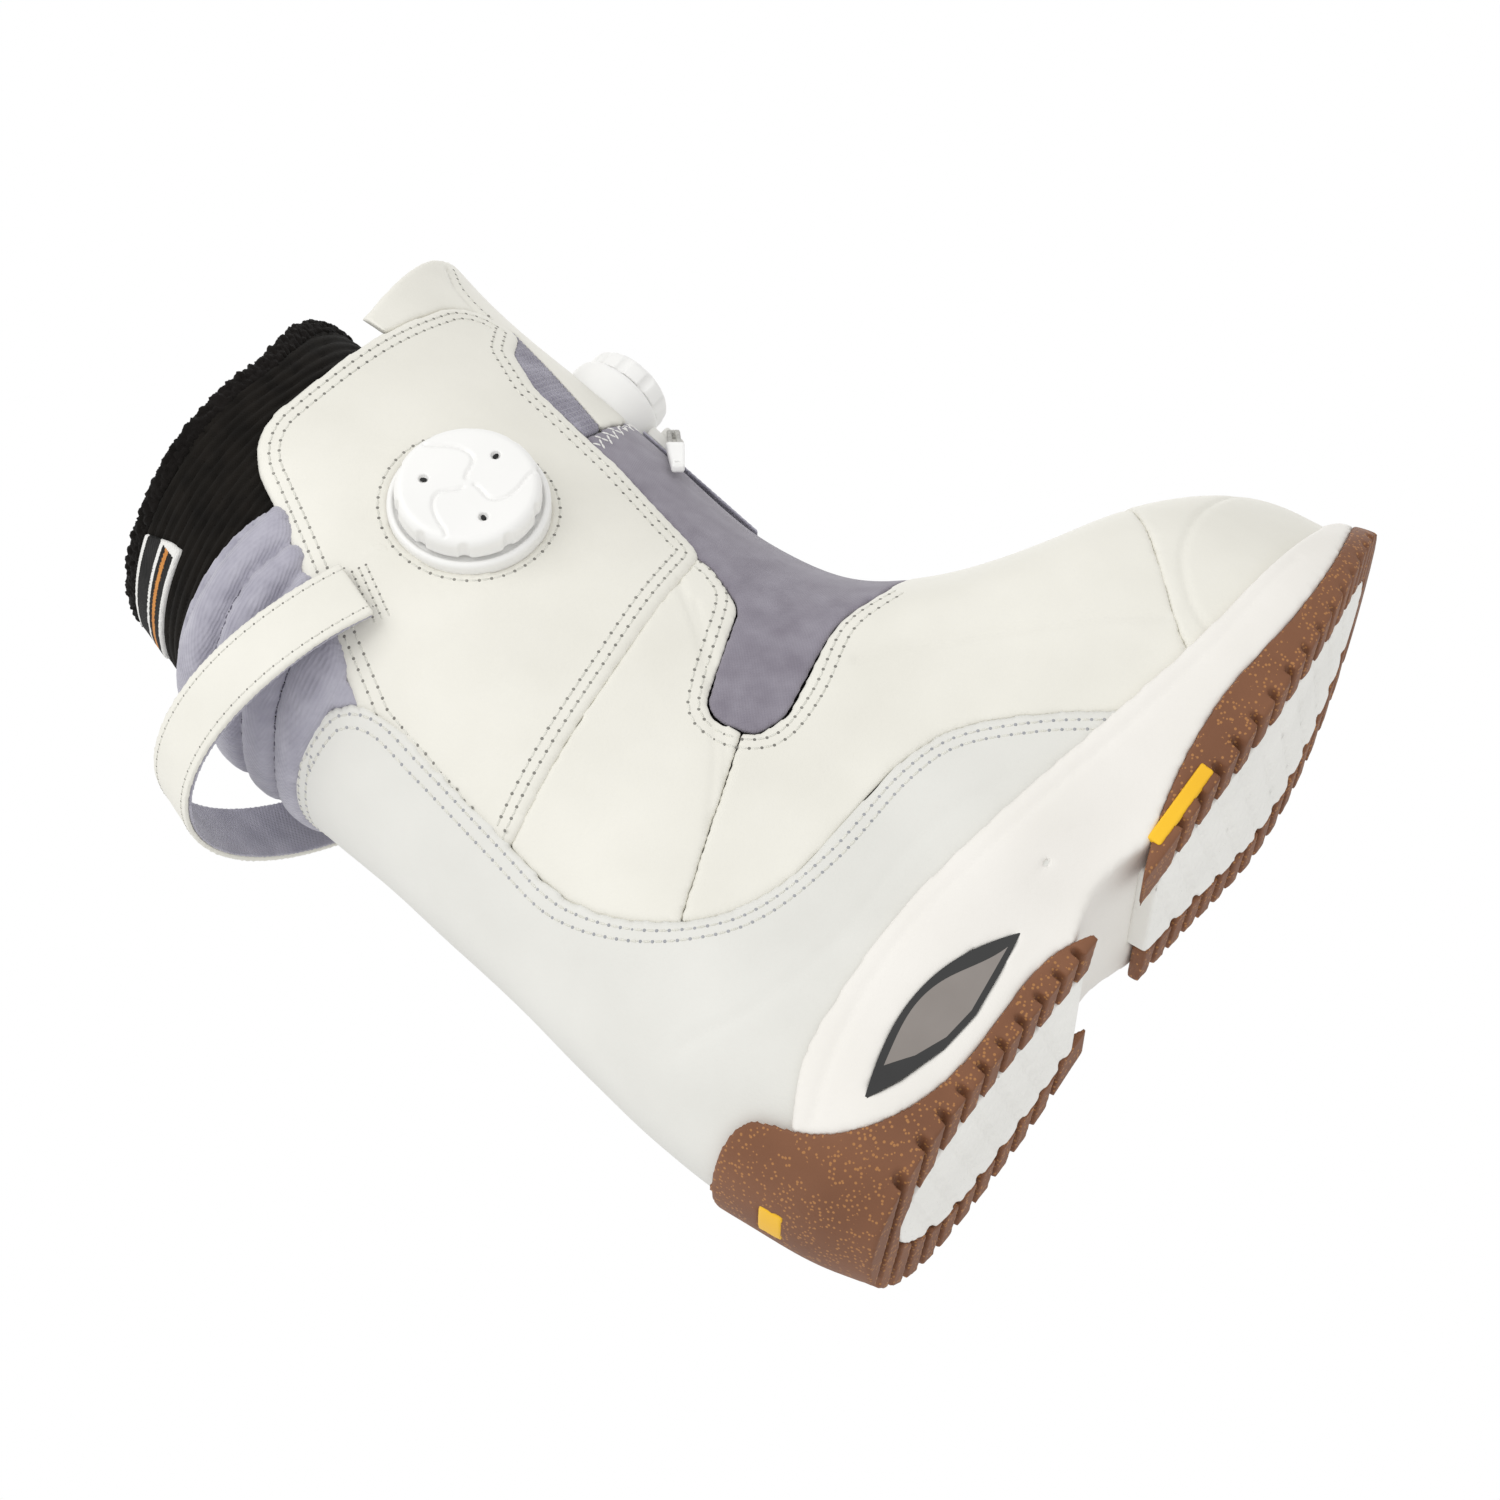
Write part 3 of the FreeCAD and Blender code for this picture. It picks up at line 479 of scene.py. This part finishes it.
# ---- outlines, in side view (x, z) millimetres ------------------------------------------------------
def rounded(corners, step=1.0):
    """Points round a closed outline with straight sides and a tangent arc of radius r at (x, z, r)."""
    points = []
    count = len(corners)
    for i, corner in enumerate(corners):
        here = Vector(corner[:2])
        radius = corner[2] if len(corner) > 2 else 0
        back = (Vector(corners[i - 1][:2]) - here).normalized()
        ahead = (Vector(corners[(i + 1) % count][:2]) - here).normalized()
        if radius <= 0:
            points.append(here)
            continue
        half = back.angle(ahead) / 2
        reach = radius / math.tan(half)
        centre = here + (back + ahead).normalized() * radius / math.sin(half)
        start = here + back * reach - centre
        turn = math.pi - 2 * half
        if start.x * ahead.y - start.y * ahead.x < 0:
            turn = -turn
        steps = max(2, int(abs(turn) * radius / step))
        for k in range(steps + 1):
            angle = turn * k / steps
            spun = Vector((start.x * math.cos(angle) - start.y * math.sin(angle),
                           start.x * math.sin(angle) + start.y * math.cos(angle)))
            points.append(centre + spun)
    points.append(points[0].copy())
    return spaced(points, step)


def spaced(points, step):
    """Points at an even step along a polyline."""
    out = [points[0].copy()]
    carry = 0.0
    for a, b in zip(points, points[1:]):
        length = (b - a).length
        if length < 1e-9:
            continue
        at = step - carry
        while at <= length:
            out.append(a.lerp(b, at / length))
            at += step
        carry = length - (at - step)
    return out


def flowing(points, step=1.0):
    """A smooth line through given points, spaced evenly."""
    nodes = [Vector(p) for p in points]
    nodes = [nodes[0] * 2 - nodes[1]] + nodes + [nodes[-1] * 2 - nodes[-2]]
    fine = []
    for a, b, c, d in zip(nodes, nodes[1:], nodes[2:], nodes[3:]):
        for k in range(12):
            t = k / 12
            fine.append(((b * 2) + (c - a) * t + (a * 2 - b * 5 + c * 4 - d) * t * t
                         + (b * 3 - a - c * 3 + d) * t * t * t) * 0.5)
    fine.append(nodes[-2])
    return spaced(fine, step)


def beside(line, gap):
    """A line offset to its left by a gap, in side view."""
    out = []
    for i, point in enumerate(line):
        ahead = line[min(i + 1, len(line) - 1)] - line[max(i - 1, 0)]
        if ahead.length < 1e-9:
            continue
        ahead.normalize()
        out.append(point + Vector((-ahead.y, ahead.x)) * gap)
    return out


def lay(tree, line, side):
    """Drop a side-view line onto the surface from one side: a list of (place, normal)."""
    laid = []
    for point in line:
        start = Vector((point.x * MM, side * 0.2, point.y * MM))
        place, normal, _, _ = tree.ray_cast(start, Vector((0, -side, 0)))
        if place is not None and normal.y * side > 0.12:
            laid.append((place, normal))
    return laid


def lay_round(tree, height, centre_x, start, end, step=0.6):
    """Lay a line round the shaft between two bearings in degrees; its height may depend on the bearing."""
    laid = []
    bearing = start
    while bearing <= end:
        angle = math.radians(bearing)
        z = (height(bearing) if callable(height) else height) * MM
        aim = Vector((math.cos(angle), math.sin(angle), 0))
        middle = Vector((centre_x * MM, 0, z))
        place, normal, _, _ = tree.ray_cast(middle + aim * 0.25, -aim)
        if place is not None and normal.dot(aim) > 0.1:
            laid.append((place, normal))
        bearing += step
    return laid


def places(laid):
    return [place for place, _ in laid]


def runs_of(laid, gap=4 * MM):
    """Split a laid line wherever it jumps."""
    runs = [[]]
    for place, normal in laid:
        if runs[-1] and (place - runs[-1][-1][0]).length > gap:
            runs.append([])
        runs[-1].append((place, normal))
    return [run for run in runs if len(run) > 3]


def walk(run, pitch):
    """Even steps along a laid line: (place, normal, direction)."""
    out = []
    want = pitch / 2
    gone = 0.0
    for (a, na), (b, nb) in zip(run, run[1:]):
        length = (b - a).length
        while length > 0 and gone + length >= want:
            t = (want - gone) / length
            out.append((a.lerp(b, t), na.lerp(nb, t).normalized(), (b - a).normalized()))
            want += pitch
        gone += length
    return out


def frame_at(place, normal, ahead):
    """Matrix that puts a shape at a place: x along the seam, z out of the surface."""
    across = normal.cross(ahead).normalized()
    along = across.cross(normal).normalized()
    turn = Matrix((along, across, normal)).transposed().to_4x4()
    return Matrix.Translation(place) @ turn


def bead(sizes, index, rings):
    """A small rounded bead as a mesh that is stamped along a seam."""
    form = bmesh.new()
    made = bmesh.ops.create_uvsphere(form, u_segments=8, v_segments=rings, radius=1.0,
                                     matrix=Matrix.Diagonal((*sizes, 1)))
    paint(made, index)
    mesh = bpy.data.meshes.new("bead")
    form.to_mesh(mesh)
    form.free()
    return mesh


def stamp(form, mesh, matrix):
    copy = mesh.copy()
    copy.transform(matrix)
    form.from_mesh(copy)
    bpy.data.meshes.remove(copy)


def sew(form, laid, pitch, length=2.5, width=0.75, hole=0.52):
    """Lockstitches along a laid line: a thread bar between needle holes, which are dark discs of painted
    shade.
    """
    bar = bead((length / 2 * MM, width / 2 * MM, 0.34 * MM), 0, 5)
    # each needle hole is a flat dark disc on the surface: painted shade
    dot = bead((hole * MM, hole * MM, 0.12 * MM), 1, 4)
    for run in runs_of(laid):
        for place, normal, ahead in walk(run, pitch * MM):
            stamp(form, bar, frame_at(place - normal * 0.05 * MM, normal, ahead))
            if hole:
                stamp(form, dot, frame_at(place + ahead * pitch / 2 * MM, normal, ahead))
    bpy.data.meshes.remove(bar)
    bpy.data.meshes.remove(dot)


def paint(made, index):
    for vert in made["verts"]:
        for face in vert.link_faces:
            face.material_index = index
            face.smooth = True


# ---- the boot's own lines ------------------------------------------------------
HEEL_EDGE = [(-14, 225), (-3, 218), (1, 205), (-2, 185), (-8, 152), (-12, 128), (-9, 108), (0, 92), (14, 82),
             (40, 77), (72, 76), (92, 70), (110, 53), (124, 34)]
CUFF_EDGE = [(-16, 149), (100, 166, 8), (111, 205, 60), (118, 243, 14), (127, 259, 8), (139, 267, 5),
             (137, 284, 14), (44, 291, 24), (14, 238, 40), (-4, 205)]
NOTCH_EDGE = [(126, 116), (104, 119), (80, 113), (64, 112), (57, 118), (56, 128), (64, 134), (91, 146),
              (99, 156), (101, 166)]
VAMP_CREASE = [(96, 106), (112, 92), (128, 76), (144, 59), (158, 42)]
TOE_LINE = [(160, 28), (167, 40), (180, 51), (200, 57), (226, 58)]
SIDE_DIAL = (65, 224)
UPPER_NODES = ("cuff_outer", "cuff_inner", "heel_panel", "quarter_outer", "quarter_inner", "vamp", "toe_cap",
               "gaiter")
HEEL_FOLDS = [(-28, 74), (-10, 62), (20, 56), (56, 57), (84, 50), (104, 36)]
QUARTER_FOLDS = ([(26, 106), (50, 122), (72, 144), (88, 166)], [(34, 106), (60, 128), (84, 156)])
TONGUE_LINE = [(128, 246), (134, 268), (140, 290), (149, 303)]
TONGUE_SEAM = [(131, 246), (137, 268), (143, 290), (152, 303)]
MIDSOLE_CREASE = [(-28, 30), (-14, 35), (8, 39.5), (30, 41.5), (60, 39), (92, 34.5), (124, 28.5), (160, 24),
                  (200, 23.5)]
FLAP_TOP = [(0, 230.5), (20, 227.0), (48, 221.5), (70, 220.0)]    # bearing from the front, height
HEEL_TOP = 226.0
STITCH = 3.6
DIAL_RING = 26.4
ROW_GAPS = (2.9, 5.9)
QUILT_TOP = ((-9.0, 279.0), (28.0, 271.0))
# Height of each sewn channel of the quilted panel, by x: (x, z) millimetres, low to high.
CHANNELS = [
    [(-18, 233), (-10, 236.5), (2, 238), (20, 236)],
    [(-18, 246), (-10, 249.5), (2, 252), (24, 249)],
    [(-18, 261), (-8, 263.5), (4, 264), (12, 263), (28, 256)],
]
QUILT_FULL = 3.6
PAD_CLOSING = 1.5            # half the widest cut that is filled in the tread pads
LABEL_BORDER = 1.7
COLLAR_RIB = 3.1
COLLAR_RISE = 9.0
BACK_BEARINGS = (118, 242)


def between(table, at):
    """Read a table of (place, value) at any place, straight between its rows."""
    if at <= table[0][0]:
        return table[0][1]
    for (a, va), (b, vb) in zip(table, table[1:]):
        if at <= b:
            return va + (vb - va) * (at - a) / (b - a)
    return table[-1][1]


def edge_rows(form, tree, line, gaps, sides=(OUTER, INNER)):
    """Parallel rows of stitches beside a side-view line, on either side of the boot."""
    for gap in gaps:
        for side in sides:
            sew(form, lay(tree, beside(line, gap), side), STITCH)


def finish_cad(node):
    """Give a rigid CAD node its finish."""
    made = frame["nodes"][node]
    stuff = MATERIALS[SLOT_OF[node]]
    if made.data.materials:
        for i in range(len(made.material_slots)):
            made.material_slots[i].material = stuff
    else:
        made.data.materials.append(stuff)


def soft_piece(node, cell, rounds, lift, material=None, lines=(), depth=0.7, width=1.1, name=None,
               relief=None, ride=True, rise=None):
    """Replace a CAD node with an even, softened, slightly fuller piece of the same form."""
    form = even_skin(node_form(node), cell * MM, rounds)
    if relief:
        swell(form, relief)
    if rise:
        for vert in form.verts:
            vert.co.z += rise(vert.co)
    if lift:
        swell(form, lift * MM)
    if lines:
        press_lines(form, lines, depth * MM, width * MM)
    set_faces(form)
    return piece(form, name or node + "_skin", BODY_OF[node] if ride else None,
                 [material or SLOT_OF[node]], [node])


def hand_wear(amount):
    """Slow dents of soft leather that has been held and folded."""
    def far(place, normal):
        return amount * MM * noise.noise(place * 34.0)
    return far


# ---- leather upper ------------------------------------------------------
def make_upper():
    skin = tree_of(*[frame["nodes"][node] for node in UPPER_NODES])

    def both(points):
        line = flowing(points)
        return [places(lay(skin, line, side)) for side in (OUTER, INNER)]

    made = {}
    made["vamp"] = soft_piece("vamp", 1.15, 4, 0.15, lines=both(VAMP_CREASE), depth=0.8, width=1.6,
                              relief=hand_wear(0.5))
    made["toe_cap"] = soft_piece("toe_cap", 1.1, 3, 0.55, lines=both(TOE_LINE), depth=0.9, width=1.1)
    for node in ("quarter_outer", "quarter_inner"):
        side = OUTER if node.endswith("outer") else INNER
        fold = [places(lay(skin, flowing(line), side)) for line in QUARTER_FOLDS]
        made[node] = soft_piece(node, 1.0, 3, 0.15, lines=fold, depth=0.55, width=1.5, relief=hand_wear(0.4))
    made["heel_panel"] = soft_piece("heel_panel", 1.2, 4, 0.7, "heel_leather", lines=both(HEEL_FOLDS),
                                    depth=0.35, width=2.2, relief=hand_wear(0.3))
    for node in ("cuff_outer", "cuff_inner"):
        made[node] = soft_piece(node, 1.05, 4, 0.85, relief=hand_wear(0.55))

    threads = bmesh.new()
    cuff_line = rounded(CUFF_EDGE, 0.8)
    for node, side in (("cuff_outer", OUTER), ("cuff_inner", INNER)):
        edge_rows(threads, tree_of(made[node]), cuff_line, ROW_GAPS, (side,))
    cuff_tree = tree_of(made["cuff_outer"])
    ring = [Vector((SIDE_DIAL[0] + DIAL_RING * math.cos(a / 90 * math.pi),
                    SIDE_DIAL[1] + DIAL_RING * math.sin(a / 90 * math.pi))) for a in range(181)]
    sew(threads, lay(cuff_tree, ring, OUTER), STITCH)
    piece(threads, "cuff_stitching", "boot", ["thread", "needle_hole_shade"])

    threads = bmesh.new()
    heel_tree = tree_of(made["heel_panel"])
    heel_line = flowing(HEEL_EDGE)
    edge_rows(threads, heel_tree, heel_line, [-gap for gap in ROW_GAPS])
    for gap in ROW_GAPS:
        sew(threads, lay_round(heel_tree, HEEL_TOP - gap, 20, 152, 208), STITCH)
    piece(threads, "heel_stitching", "boot", ["thread", "pale_hole_shade"])

    threads = bmesh.new()
    low_tree = tree_of(made["vamp"], made["quarter_outer"], made["quarter_inner"])
    edge_rows(threads, low_tree, flowing(NOTCH_EDGE), ROW_GAPS)
    piece(threads, "notch_stitching", "boot", ["thread", "needle_hole_shade"])
    return made


def flap_height(bearing):
    """Height of the gaiter's top edge, by bearing from the middle of the front."""
    return between(FLAP_TOP, bearing)


def make_gaiter():
    made = soft_piece("gaiter", 1.1, 4, 0.0, relief=hand_wear(0.5), ride=False)
    tree = tree_of(made)
    threads = bmesh.new()
    rise = 1.9
    for start, end in ((5, 64), (-64, -5)):
        def height(bearing):
            return flap_height(abs(bearing)) - 4.6 + rise * (1 - 2 * abs((bearing / 3.2) % 2 - 1))
        sew(threads, lay_round(tree, height, 92, start, end, 0.8), 2.3, 2.6, 0.8, 0)
    piece(threads, "flap_zigzag", "tongue", ["white_thread"])
    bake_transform(made)
    return made


def make_tongue():
    skin = tree_of(frame["nodes"]["tongue_panel"])
    inner_edge = [places(lay(skin, flowing(TONGUE_LINE), side)) for side in (OUTER, INNER)]
    made = soft_piece("tongue_panel", 1.0, 4, 0.1, lines=inner_edge, depth=0.7, width=0.9)
    tree = tree_of(made)
    threads = bmesh.new()
    edge_rows(threads, tree, flowing(TONGUE_SEAM), (0.0,))
    piece(threads, "tongue_stitching", "tongue", ["thread", "needle_hole_shade"])

    def ribs(place, normal):
        return 0.28 * MM * math.sin(place.z / MM * 2 * math.pi / 2.1)
    soft_piece("knit_strip", 0.7, 1, 0.0, relief=ribs)


def make_quilt():
    form = even_skin(node_form("tendon_panel"), 0.85 * MM, 3)

    def stuffing(place, normal):
        x, z = place.x / MM, place.z / MM
        scallop = 0.55 * abs(math.sin(math.atan2(place.y, place.x - 0.03) * 30))
        rows = [219.0] + [between(channel, x) + scallop for channel in CHANNELS]
        rows.append(QUILT_TOP[0][1] + (x - QUILT_TOP[0][0]) * -0.216)
        for low, high in zip(rows, rows[1:]):
            if low <= z < high:
                t = (z - low) / (high - low)
                return (QUILT_FULL * (1 - abs(2 * t - 1) ** 3.2) - 0.9) * MM
        return 0.0
    swell(form, stuffing)
    soften(form, 1)
    set_faces(form)
    made = piece(form, "quilted_panel", BODY_OF["tendon_panel"],
                 [SLOT_OF["tendon_panel"]], ["tendon_panel"])
    tree = tree_of(made)
    threads = bmesh.new()
    for channel in CHANNELS:
        laid = lay_round(tree, lambda bearing: channel_height(tree, channel, bearing), 30, *BACK_BEARINGS)
        sew(threads, laid, 2.8, 2.1, 0.75, 0.3)
    piece(threads, "quilt_stitching", "boot", ["grey_thread", "dark_hole_shade"])


def channel_height(tree, channel, bearing):
    """Height of a channel where it crosses a bearing from the shaft's middle."""
    z = channel[1][1]
    angle = math.radians(bearing)
    aim = Vector((math.cos(angle), math.sin(angle), 0))
    for _ in range(2):
        place = tree.ray_cast(Vector((0.030, 0, z * MM)) + aim * 0.25, -aim)[0]
        if place is None:
            return z
        z = between(channel, place.x / MM)
    return z


# ---- pull loop ------------------------------------------------------
def make_loop():
    strap = soft_piece("pull_loop", 0.65, 2, 0.1, relief=hand_wear(0.35))
    soft_piece("pull_loop_lining", 0.55, 1, 0.0)
    for node in ("loop_patch_outer", "loop_patch_inner"):
        soft_piece(node, 0.6, 2, 0.15, "leather")
    tree = tree_of(strap)
    threads = bmesh.new()
    pivot = Vector((0.0215, 0, 0.230))
    turn = Matrix.Rotation(math.radians(21), 3, 'Y')
    for level in (-7.6, 7.6):
        laid = []
        for k in range(181):
            angle = math.radians(90 + k)
            start = pivot + turn @ Vector((0.12 * math.cos(angle), 0.12 * math.sin(angle), level * MM))
            aim = (pivot + turn @ Vector((0, 0, level * MM)) - start).normalized()
            place, normal, _, _ = tree.ray_cast(start, aim)
            if place is not None:
                laid.append((place, normal))
        sew(threads, laid, 3.4, 2.2, 0.6, 0.35)
    piece(threads, "loop_stitching", "loop", ["thread", "needle_hole_shade"])


def make_loop_rows(cuffs):
    """Three short rows of stitches that hold each end of the loop to its cuff."""
    threads = bmesh.new()
    corner = Vector((16.4, 221.2))
    ahead = Vector((0.47, 0.88))
    aside = Vector((0.88, -0.47))
    for end, side in (("outer", OUTER), ("inner", INNER)):
        tree = tree_of(cuffs["cuff_" + end], bpy.data.objects["loop_patch_" + end + "_skin"])
        for gap in (1.9, 4.1, 6.3):
            line = [corner + aside * gap + ahead * k for k in range(20)]
            sew(threads, lay(tree, line, side), 2.6, 1.8, 0.6, 0.4)
    piece(threads, "loop_end_stitching", "boot", ["thread", "needle_hole_shade"])


# ---- liner ------------------------------------------------------
def eased_share(value, low, high):
    """0 below low, 1 above high, and smooth between."""
    share = min(1.0, max(0.0, (value - low) / (high - low)))
    return share * share * (3 - 2 * share)


def collar_rise(place):
    """The collar stands higher towards the shin than at the back."""
    return COLLAR_RISE * MM * eased_share(place.x / MM, 66, 108) * eased_share(place.z / MM, 284, 311)


def make_liner():
    def wales(place, normal):
        level = place.z / MM + place.x / MM * 0.05
        wave = abs(math.sin(level * math.pi / COLLAR_RIB))
        return (1.05 * math.sqrt(wave) - 0.55 + 0.05 * noise.noise(place * 900.0)) * MM
    soft_piece("liner_collar", 0.7, 1, 0.2, relief=wales, name="corduroy_collar",
                         rise=collar_rise)

    def pile(place, normal):
        tuft = noise.noise(place * 620.0) * 1.0 + noise.noise(place * 1400.0) * 0.6
        return (0.5 + tuft) * MM
    soft_piece("collar_rim", 0.55, 1, 0.3, relief=pile, name="pile_rim", rise=collar_rise)
    soft_piece("liner_boot", 2.2, 2, 0.0, relief=hand_wear(0.8))
    soft_piece("footbed", 1.6, 2, 0.0, "insole_foam")


def make_patch():
    """A plain woven label on the back of the collar: pale border, dark ground, two level stripes."""
    form = even_skin(node_form("collar_patch"), 0.42 * MM, 2)
    swell(form, 0.75 * MM)
    z_low = min(vert.co.z for vert in form.verts)
    z_high = max(vert.co.z for vert in form.verts)
    y_low = min(vert.co.y for vert in form.verts)
    y_high = max(vert.co.y for vert in form.verts)
    set_faces(form)
    for face in form.faces:
        place = face.calc_center_median()
        up = (place.z - z_low) / MM
        down = (z_high - place.z) / MM
        aside = min(place.y - y_low, y_high - place.y) / MM
        if min(up, down, aside) < LABEL_BORDER:
            face.material_index = 1
        elif 4.0 < up < 5.6:
            face.material_index = 2
        elif 7.0 < up < 8.2:
            face.material_index = 1
    piece(form, "collar_label", BODY_OF["collar_patch"],
          ["patch", "white_thread", "orange_thread"], ["collar_patch"])


# ---- sole ------------------------------------------------------
def make_sole():
    skin = tree_of(frame["nodes"]["midsole"])
    lines = [places(lay(skin, flowing(MIDSOLE_CREASE), side)) for side in (OUTER, INNER)]
    soft_piece("midsole", 1.25, 3, 0.1, lines=lines, depth=0.55, width=1.3)
    soft_piece("heel_outsole", 0.75, 2, 0.1)
    soft_piece("forefoot_outsole", 0.8, 2, 0.1)

    def dimples(place, normal):
        if normal.z > -0.5:
            return 0.0
        return -0.30 * MM * max(0.0, math.sin(place.x * 900) * math.sin(place.y * 900))
    for node in ("heel_tread_pad", "forefoot_tread_pad"):
        form = even_skin(node_form(node), 0.7 * MM, 1)
        swell(form, PAD_CLOSING * MM)
        form = even_skin(form, 0.7 * MM, 1)
        swell(form, -PAD_CLOSING * MM)
        swell(form, dimples)
        set_faces(form)
        piece(form, node + "_skin", BODY_OF[node], [SLOT_OF[node]], [node])
    for node in ("heel_inlay", "forefoot_inlay"):
        soft_piece(node, 0.35, 1, 0.25)
    for node in ("window_rim", "window_lens", "shank"):
        finish_cad(node)


# ---- dials and zip ------------------------------------------------------
DIALS = {"side": (Vector((0.065, -0.057, 0.224)), Vector((0, -1, 0)), 1.0),
         "front": (Vector((0.155, 0, 0.240)), Vector((1, 0, 0)), 0.67)}
KNOB_TOP = 7.8
KNOB_RADIUS = {"side": 21.5, "front": 14.5}
HOLE_SHARE = 0.6


def dial_lines(centre, out, size):
    """Three sculpted lines on a knob that swirl from its middle to its edge."""
    across = out.cross(Vector((0, 0, 1))).normalized()
    up = Vector((0, 0, 1))
    lines = []
    for arm in range(3):
        line = []
        for k in range(60):
            reach = (2.0 + k * 0.31) * size
            angle = math.radians(arm * 120 + 6 + 26 * math.sin(k / 60 * 5.0))
            line.append(centre + out * KNOB_TOP * MM
                        + (across * math.cos(angle) + up * math.sin(angle)) * reach * MM)
        lines.append(line)
    return lines


def make_dials():
    for side, (centre, out, size) in DIALS.items():
        knob = side + "_dial_knob"
        soft_piece(knob, 0.42, 1, 0.0, lines=dial_lines(centre, out, size), depth=0.8, width=0.55)
        # Three dark discs just under the knob's top, at its holes: painted shade in the holes
        hole_shade_dots = bmesh.new()
        up = Vector((0, 0, 1))
        across = out.cross(up).normalized()
        dot = bead((1.15 * size * MM, 0.8 * size * MM, 0.25 * MM), 0, 5)
        for k in range(3):
            angle = math.radians(60 + 120 * k)
            aim = across * math.cos(angle) + up * math.sin(angle)
            place = centre + aim * KNOB_RADIUS[side] * HOLE_SHARE * MM + out * (KNOB_TOP - 0.75) * MM
            stamp(hole_shade_dots, dot, frame_at(place, out, aim))
        bpy.data.meshes.remove(dot)
        piece(hole_shade_dots, side + "_dial_hole_shade", BODY_OF[knob], ["dark_hole_shade"])
        soft_piece(side + "_dial_base", 0.55, 1, 0.0)
        finish_cad(side + "_dial_spool")


def make_zip():
    soft_piece("zip_tape", 0.4, 1, 0.0, "lavender_fabric")
    finish_cad("zip_teeth")
    soft_piece("zip_slider", 0.25, 1, 0.0)

    def braid(place, normal):
        return 0.12 * MM * math.sin(place.z * 5200) * math.cos((place.x + place.y) * 5200)
    soft_piece("puller_cord", 0.2, 1, 0.0, relief=braid)
    soft_piece("puller_tab", 0.3, 2, 0.0)


def make_hidden_parts():
    for node in ("tongue_board", "heel_counter", "backstay", "toe_puff", "lasting_board"):
        finish_cad(node)


upper = make_upper()
make_gaiter()
make_tongue()
make_quilt()
make_loop()
make_loop_rows(upper)
make_liner()
make_patch()
make_sole()
make_dials()
make_zip()
make_hidden_parts()
set_stage()
set_view()
